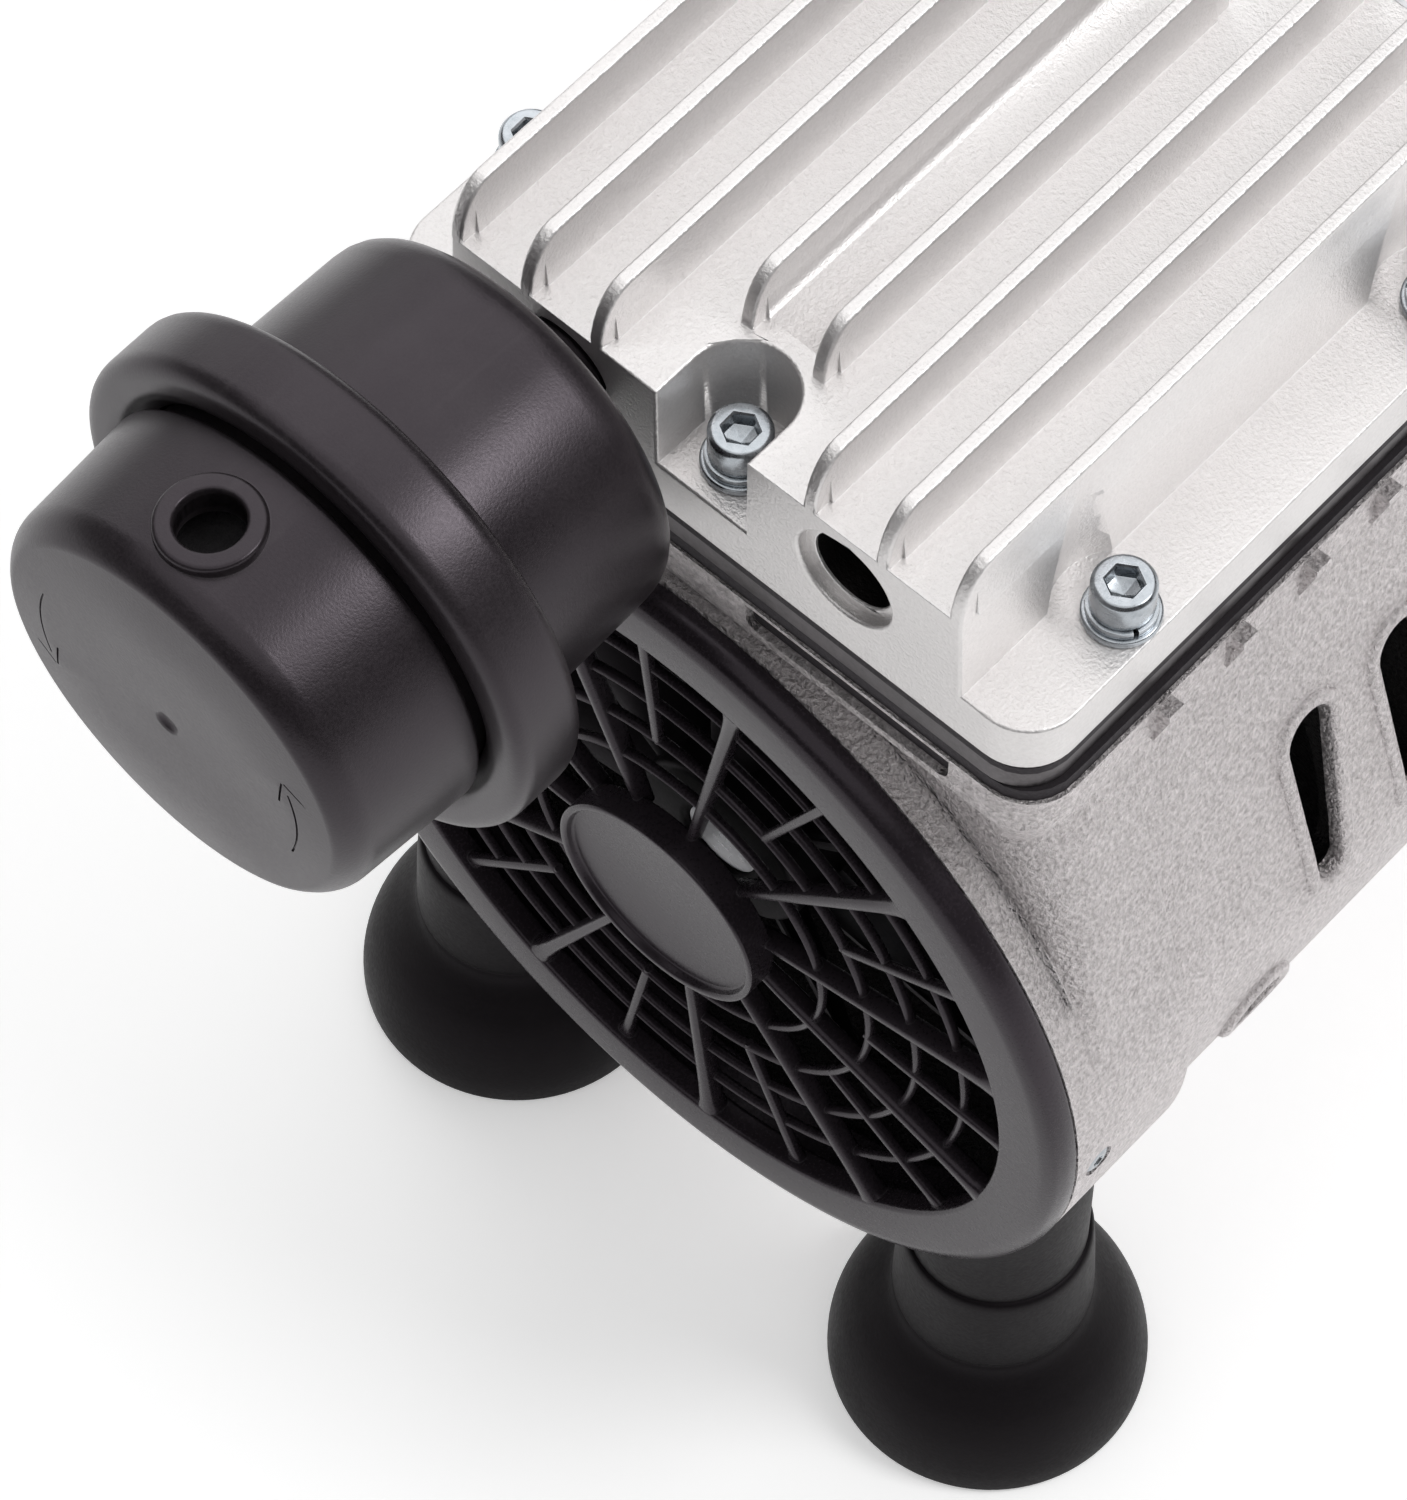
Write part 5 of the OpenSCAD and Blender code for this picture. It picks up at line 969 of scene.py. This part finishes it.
# %% Silencer cap
CAP_PROFILE = [(31.4, -82.5), (35.0, -78.9), (36.4, -56.0), (33.5, -56.0), (33.5, -48.4), (30.5, -48.4),
               (32.0, -75.9), (28.4, -79.5)]
CAP_ROUNDS = [2.6, 3.2, 1.0, 0.4, 0.6, 0.3, 1.5, 1.5]
DIMPLE = [(0.05, -81.7), (1.4, -81.75), (1.9, -82.2), (2.3, -82.5), (8, -82.5), (16, -82.5), (24, -82.5)]
OUTLET_Y, OUTLET_ANGLE, OUTLET_R, RIM_R = -68.8, radians(2.5), 5.2, 8.3
skin = softened(CAP_PROFILE, CAP_ROUNDS)
first = skin.index(min(skin, key=lambda point: point[1] * 10 - point[0] * 0.001))
shell = turning("cap.shell", DIMPLE + skin[first:] + skin[:first] + [(24, -79.5), (12, -79.5), (0.05, -79.5)],
                about_y(MUFFLER_X, MUFFLER_Z), 160)
drill = turning("drill", [(0.05, 25), (OUTLET_R, 25), (OUTLET_R, 45), (0.05, 45)], about_z(0, 0), 64)
rim = turning("outlet.rim", softened([(OUTLET_R, 32.2), (RIM_R, 32.2), (RIM_R, 36.8), (OUTLET_R, 36.8)],
                                     [0.1, 0.1, 0.9, 0.7]), about_z(0, 0), 64, closed=True)
for part in (drill, rim):
    part.transform(Matrix.Translation((MUFFLER_X, FRONT_Y + OUTLET_Y * MM, MUFFLER_Z))
                   @ Matrix.Rotation(-OUTLET_ANGLE, 4, "Y"))
cap = joined("silencer.cap", [carved(shell, [drill, arrows]), rim])
flat_wins(piece("silencer.cap", cap, "black_plastic", "cap_unit", "muffler_cap"))

# %% [markdown]
# ## Housing halves
# The neck between the round body and the flange has upright corners that get rounder towards the
# flange. The vents are wide drops with a raised lip, small wedges hang under the flange's edge,
# and a soft ring stands round the side hole. A half made from nothing might not fit the pieces
# inside it, so each half is a copy of its node, with the corners and vents cut and the raised
# forms joined on. The rear half is the front half's mirror image.

# %% Sizes of the cast details, in millimetres; y counts from the cover's face
BODY_R, COLLAR_R, AXIS_Z = 79.0, 81.45, SHAFT_Z / MM
NECK_START, NECK_END, NECK_LOW, NECK_TOP = 4.0, 122.0, (78.5, 146.0), (62.0, 206.5)
CORNER_LOW_R, CORNER_TOP_R = 1.5, 14.0
CORBEL_AT, CORBEL_LOW, CORBEL_TOP = (56.8, 9.0), (186.0, 1.0), (206.8, 8.7)
VENT_FIRST, VENT_PITCH, VENTS, VENT_LEAN = 62.0, 22.0, 4, 0.5
VENT_TOP, VENT_TIP = (43.7, 5.0), (10.1, 2.7)
GUSSET_FIRST, GUSSET_PITCH, GUSSETS, GUSSET_W = 29.0, 17.0, 6, 3.4
GUSSET_SHAPE = [(60.0, 213.9), (68.3, 213.9), (68.5, 212.8), (65.9, 204.6), (60.0, 204.6)]
BOSS_Y, BOSS_DIP, BOSS_RING, BOSS_HOLE = 47.0, radians(11), 6.8, 5.6
RECESS, RECESS_ROUND = (9.3, 48.7, 1.3, 6.6, 208.5, 213.3), 2.0
CAST_ROUND, ROUND_ABOVE, SHORTEST_EDGE, COVER_ROUND = 0.0009, 0.2, 0.0025, 0.0006
print("neck corners round from", CORNER_LOW_R, "to", CORNER_TOP_R, "mm")

# %% Forms cut away from a half, and forms joined to it


def placed(flip, side=1):
    """Places (x, y, z) in millimetres on one side of one half."""
    return lambda x, y, z: Vector((side * x * MM, flip * (FRONT_Y + y * MM), z * MM))


def corner_cutter(at):
    """What stands outside the neck's round upright corner, less the collar's own cylinder."""
    outside, steps, past = 4.0, 12, 0.03
    rings = []
    for k in range(steps + 1):
        t = k / steps
        x, z = (a + (b - a) * t for a, b in zip(NECK_LOW, NECK_TOP))
        r = CORNER_LOW_R + (CORNER_TOP_R - CORNER_LOW_R) * t
        ring = [at(x + past - r + r * cos(a), NECK_START - past + r - r * sin(a), z)
                for a in [pi / 2 * i / steps for i in range(steps + 1)]]
        rings.append(ring + [at(x - r, NECK_START - outside, z), at(x + outside, NECK_START - outside, z),
                             at(x + outside, NECK_START + r, z)])
    collar = turning("collar", [(0.05, -9), (COLLAR_R, -9), (COLLAR_R, 40), (0.05, 40)],
                     lambda r, angle, y: at(r * sin(angle), y, AXIS_Z + r * cos(angle)), 160)
    return carved(lofted("wedge", rings), [collar])


def side_x(height, y):
    """The half width of the housing's outside at a height over the shaft, in the neck or past its end."""
    touch, slope = 17.9, 0.2325
    flat = sqrt(BODY_R ** 2 - touch ** 2)
    if height < touch or y > NECK_END:
        return sqrt(BODY_R ** 2 - height ** 2)
    return flat - slope * (height - touch)


def drop_outline(y, grow=0.0, steps=16):
    """The outline (y, height) of a vent: a wide round top that narrows to a small round tip."""
    (high, top_r), (low, tip_r) = VENT_TOP, VENT_TIP
    lean = asin((top_r - tip_r) / (high - low))
    points = []
    for i in range(steps + 1):
        a = -lean + (pi + 2 * lean) * i / steps
        points.append((y + (top_r + grow) * cos(a), high + (top_r + grow) * sin(a)))
    for i in range(steps + 1):
        a = pi + lean + (pi - 2 * lean) * i / steps
        points.append((y + VENT_LEAN + (tip_r + grow) * cos(a), low + (tip_r + grow) * sin(a)))
    return points


def vent_cutter(at, y):
    """A drop-shaped plug through the wall, wider behind the thin rim that shows."""
    return lofted("vent", [[at(side_x(h, y) - depth, a, AXIS_Z + h) for a, h in drop_outline(y, grow)]
                           for depth, grow in ((22.0, 3.0), (3.8, 3.0), (2.4, 0.0), (-6.0, 0.5))])


def bead(form, at, path, middle, half_width, height):
    """A raised bead along a closed path of (y, height) on the housing's side."""
    rings = []
    for i, (y, h) in enumerate(path):
        before, after = path[i - 1], path[(i + 1) % len(path)]
        along = Vector((after[0] - before[0], after[1] - before[1])).normalized()
        across = Vector((along.y, -along.x))
        ring = []
        for a in around(10):
            reach = half_width * cos(a)
            up_by = h + across.y * reach
            ring.append(at(side_x(up_by, middle) + height * sin(a), y + across.x * reach, AXIS_Z + up_by))
        rings.append(ring)
    loft(form, rings, closed=True)


def corbel(form, at):
    """The cone that carries the flange's round corner."""
    (x, y), turns = CORBEL_AT, around(48)
    loft(form, [[at(x + r * cos(a), y + r * sin(a), z) for a in turns]
                for z, r in (CORBEL_LOW, CORBEL_TOP)])


def gusset(form, at, y):
    """A wedge under the flange's edge, narrower where it meets the wall."""
    loft(form, [[at(x, y + half, z) for x, z in GUSSET_SHAPE] for half in (-GUSSET_W / 2, GUSSET_W / 2)])


# %% Build both halves
for end, flip in ENDS:
    name, cutters, raised = "housing." + end, [], bmesh.new()
    for side in (1, -1):
        at = placed(flip, side)
        cutters.append(corner_cutter(at))
        corbel(raised, at)
        for i in range(VENTS):
            middle = VENT_FIRST + VENT_PITCH * i
            cutters.append(vent_cutter(at, middle))
            bead(raised, at, drop_outline(middle, 1.6), middle, 1.5, 0.9)
        for i in range(GUSSETS):
            gusset(raised, at, GUSSET_FIRST + GUSSET_PITCH * i)
        path = [(BOSS_Y + BOSS_RING * sin(a), -BODY_R * sin(BOSS_DIP) + BOSS_RING * cos(a))
                for a in around(40)]
        bead(raised, at, path, BOSS_Y, 1.5, 1.3)
        cutters.append(turning(
            "side.hole", [(0.05, 60), (BOSS_HOLE, 60), (BOSS_HOLE, 85), (0.05, 85)],
            lambda r, a, x: at(x * cos(BOSS_DIP) - r * sin(BOSS_DIP) * cos(a),
                               BOSS_Y + r * sin(a),
                               AXIS_Z - x * sin(BOSS_DIP) - r * cos(BOSS_DIP) * cos(a)), 64))
    half = round_edges(carved(copy_of("housing_" + end), cutters), CAST_ROUND, above=ROUND_ABOVE,
                       shortest=SHORTEST_EDGE, least=1.0)
    whole = joined(name, [half, as_mesh("raised", raised)])
    flat_wins(piece(name, whole, "cast_housing", "pump_body", "housing_" + end))

# %% Black sheet in the recess in the flange's edge, as painted shade
# This black sheet is painted shade inside the recess.
x0, x1, y0, y1, z0, z1 = RECESS
corners = rounded([(x0, z0), (x1, z0), (x1, z1), (x0, z1)], RECESS_ROUND, closed=True)
for end, flip in ENDS:
    at, sheet = placed(flip), bpy.data.objects["gasket.low." + end]
    lining = lofted("lining", [[at(x, y, z) for x, z in corners] for y in (y0, y1)])
    sheet.data = joined(sheet.name, [sheet.data, lining])
    paint(sheet, "gasket")
print("recesses lined")

# %% Covers with rounded edges
for end, _ in ENDS:
    lid = round_edges(copy_of("cover_" + end), COVER_ROUND)
    flat_wins(piece("cover." + end, lid, "cast_cover", "pump_body", "cover_" + end))

# %% Nodes that stay: soft edges on the valve plates, and joined triangles on all others
PLATE_ROUND, NODE_JOIN, NODE_ANGLE = 0.0003, 0.00001, radians(32)
for end, _ in ENDS:
    soften(NODES["valve_plate_" + end], PLATE_ROUND, 2)
for node in NODES.values():
    if not node.modifiers:
        node.modifiers.new("join", "WELD").merge_threshold = NODE_JOIN
        add_tree(node, BY_ANGLE, ANGLE_SOCKETS, Angle=NODE_ANGLE)
print("softened the castings")

# %% [markdown]
# ## Floor
# The pump stands on a pale table. The table's colour is white to the camera, and it still takes
# the pump's shadow.

# %% Pale floor
FLOOR_HALF, FLOOR_DROP, GLOW = 4.0, 0.0002, 0.34
floor_mesh = bpy.data.meshes.new("floor")
floor_mesh.from_pydata([(x * FLOOR_HALF, y * FLOOR_HALF, -FLOOR_DROP)
                        for x, y in ((-1, -1), (1, -1), (1, 1), (-1, 1))], [], [(0, 1, 2, 3)])
floor = stand("floor", floor_mesh)
pale, tree, matte = new_material("pale table", Base_Color=(0.96, 0.96, 0.96, 1), Roughness=0.9)
glow = put(tree, "ShaderNodeEmission", Color=WHITE, Strength=GLOW)
add = put(tree, "ShaderNodeAddShader", [(matte.outputs[0], 0), (glow.outputs[0], 1)])
path = put(tree, "ShaderNodeLightPath").outputs
seen = calc(tree, "MAXIMUM", path["Is Camera Ray"], path["Is Glossy Ray"])
lit = put(tree, "ShaderNodeMixShader", [(seen, 0), (matte.outputs[0], 1), (add.outputs[0], 2)])
tree.links.new(lit.outputs[0], tree.nodes["Material Output"].inputs[0])
floor_mesh.materials.append(pale)
print("floor laid")
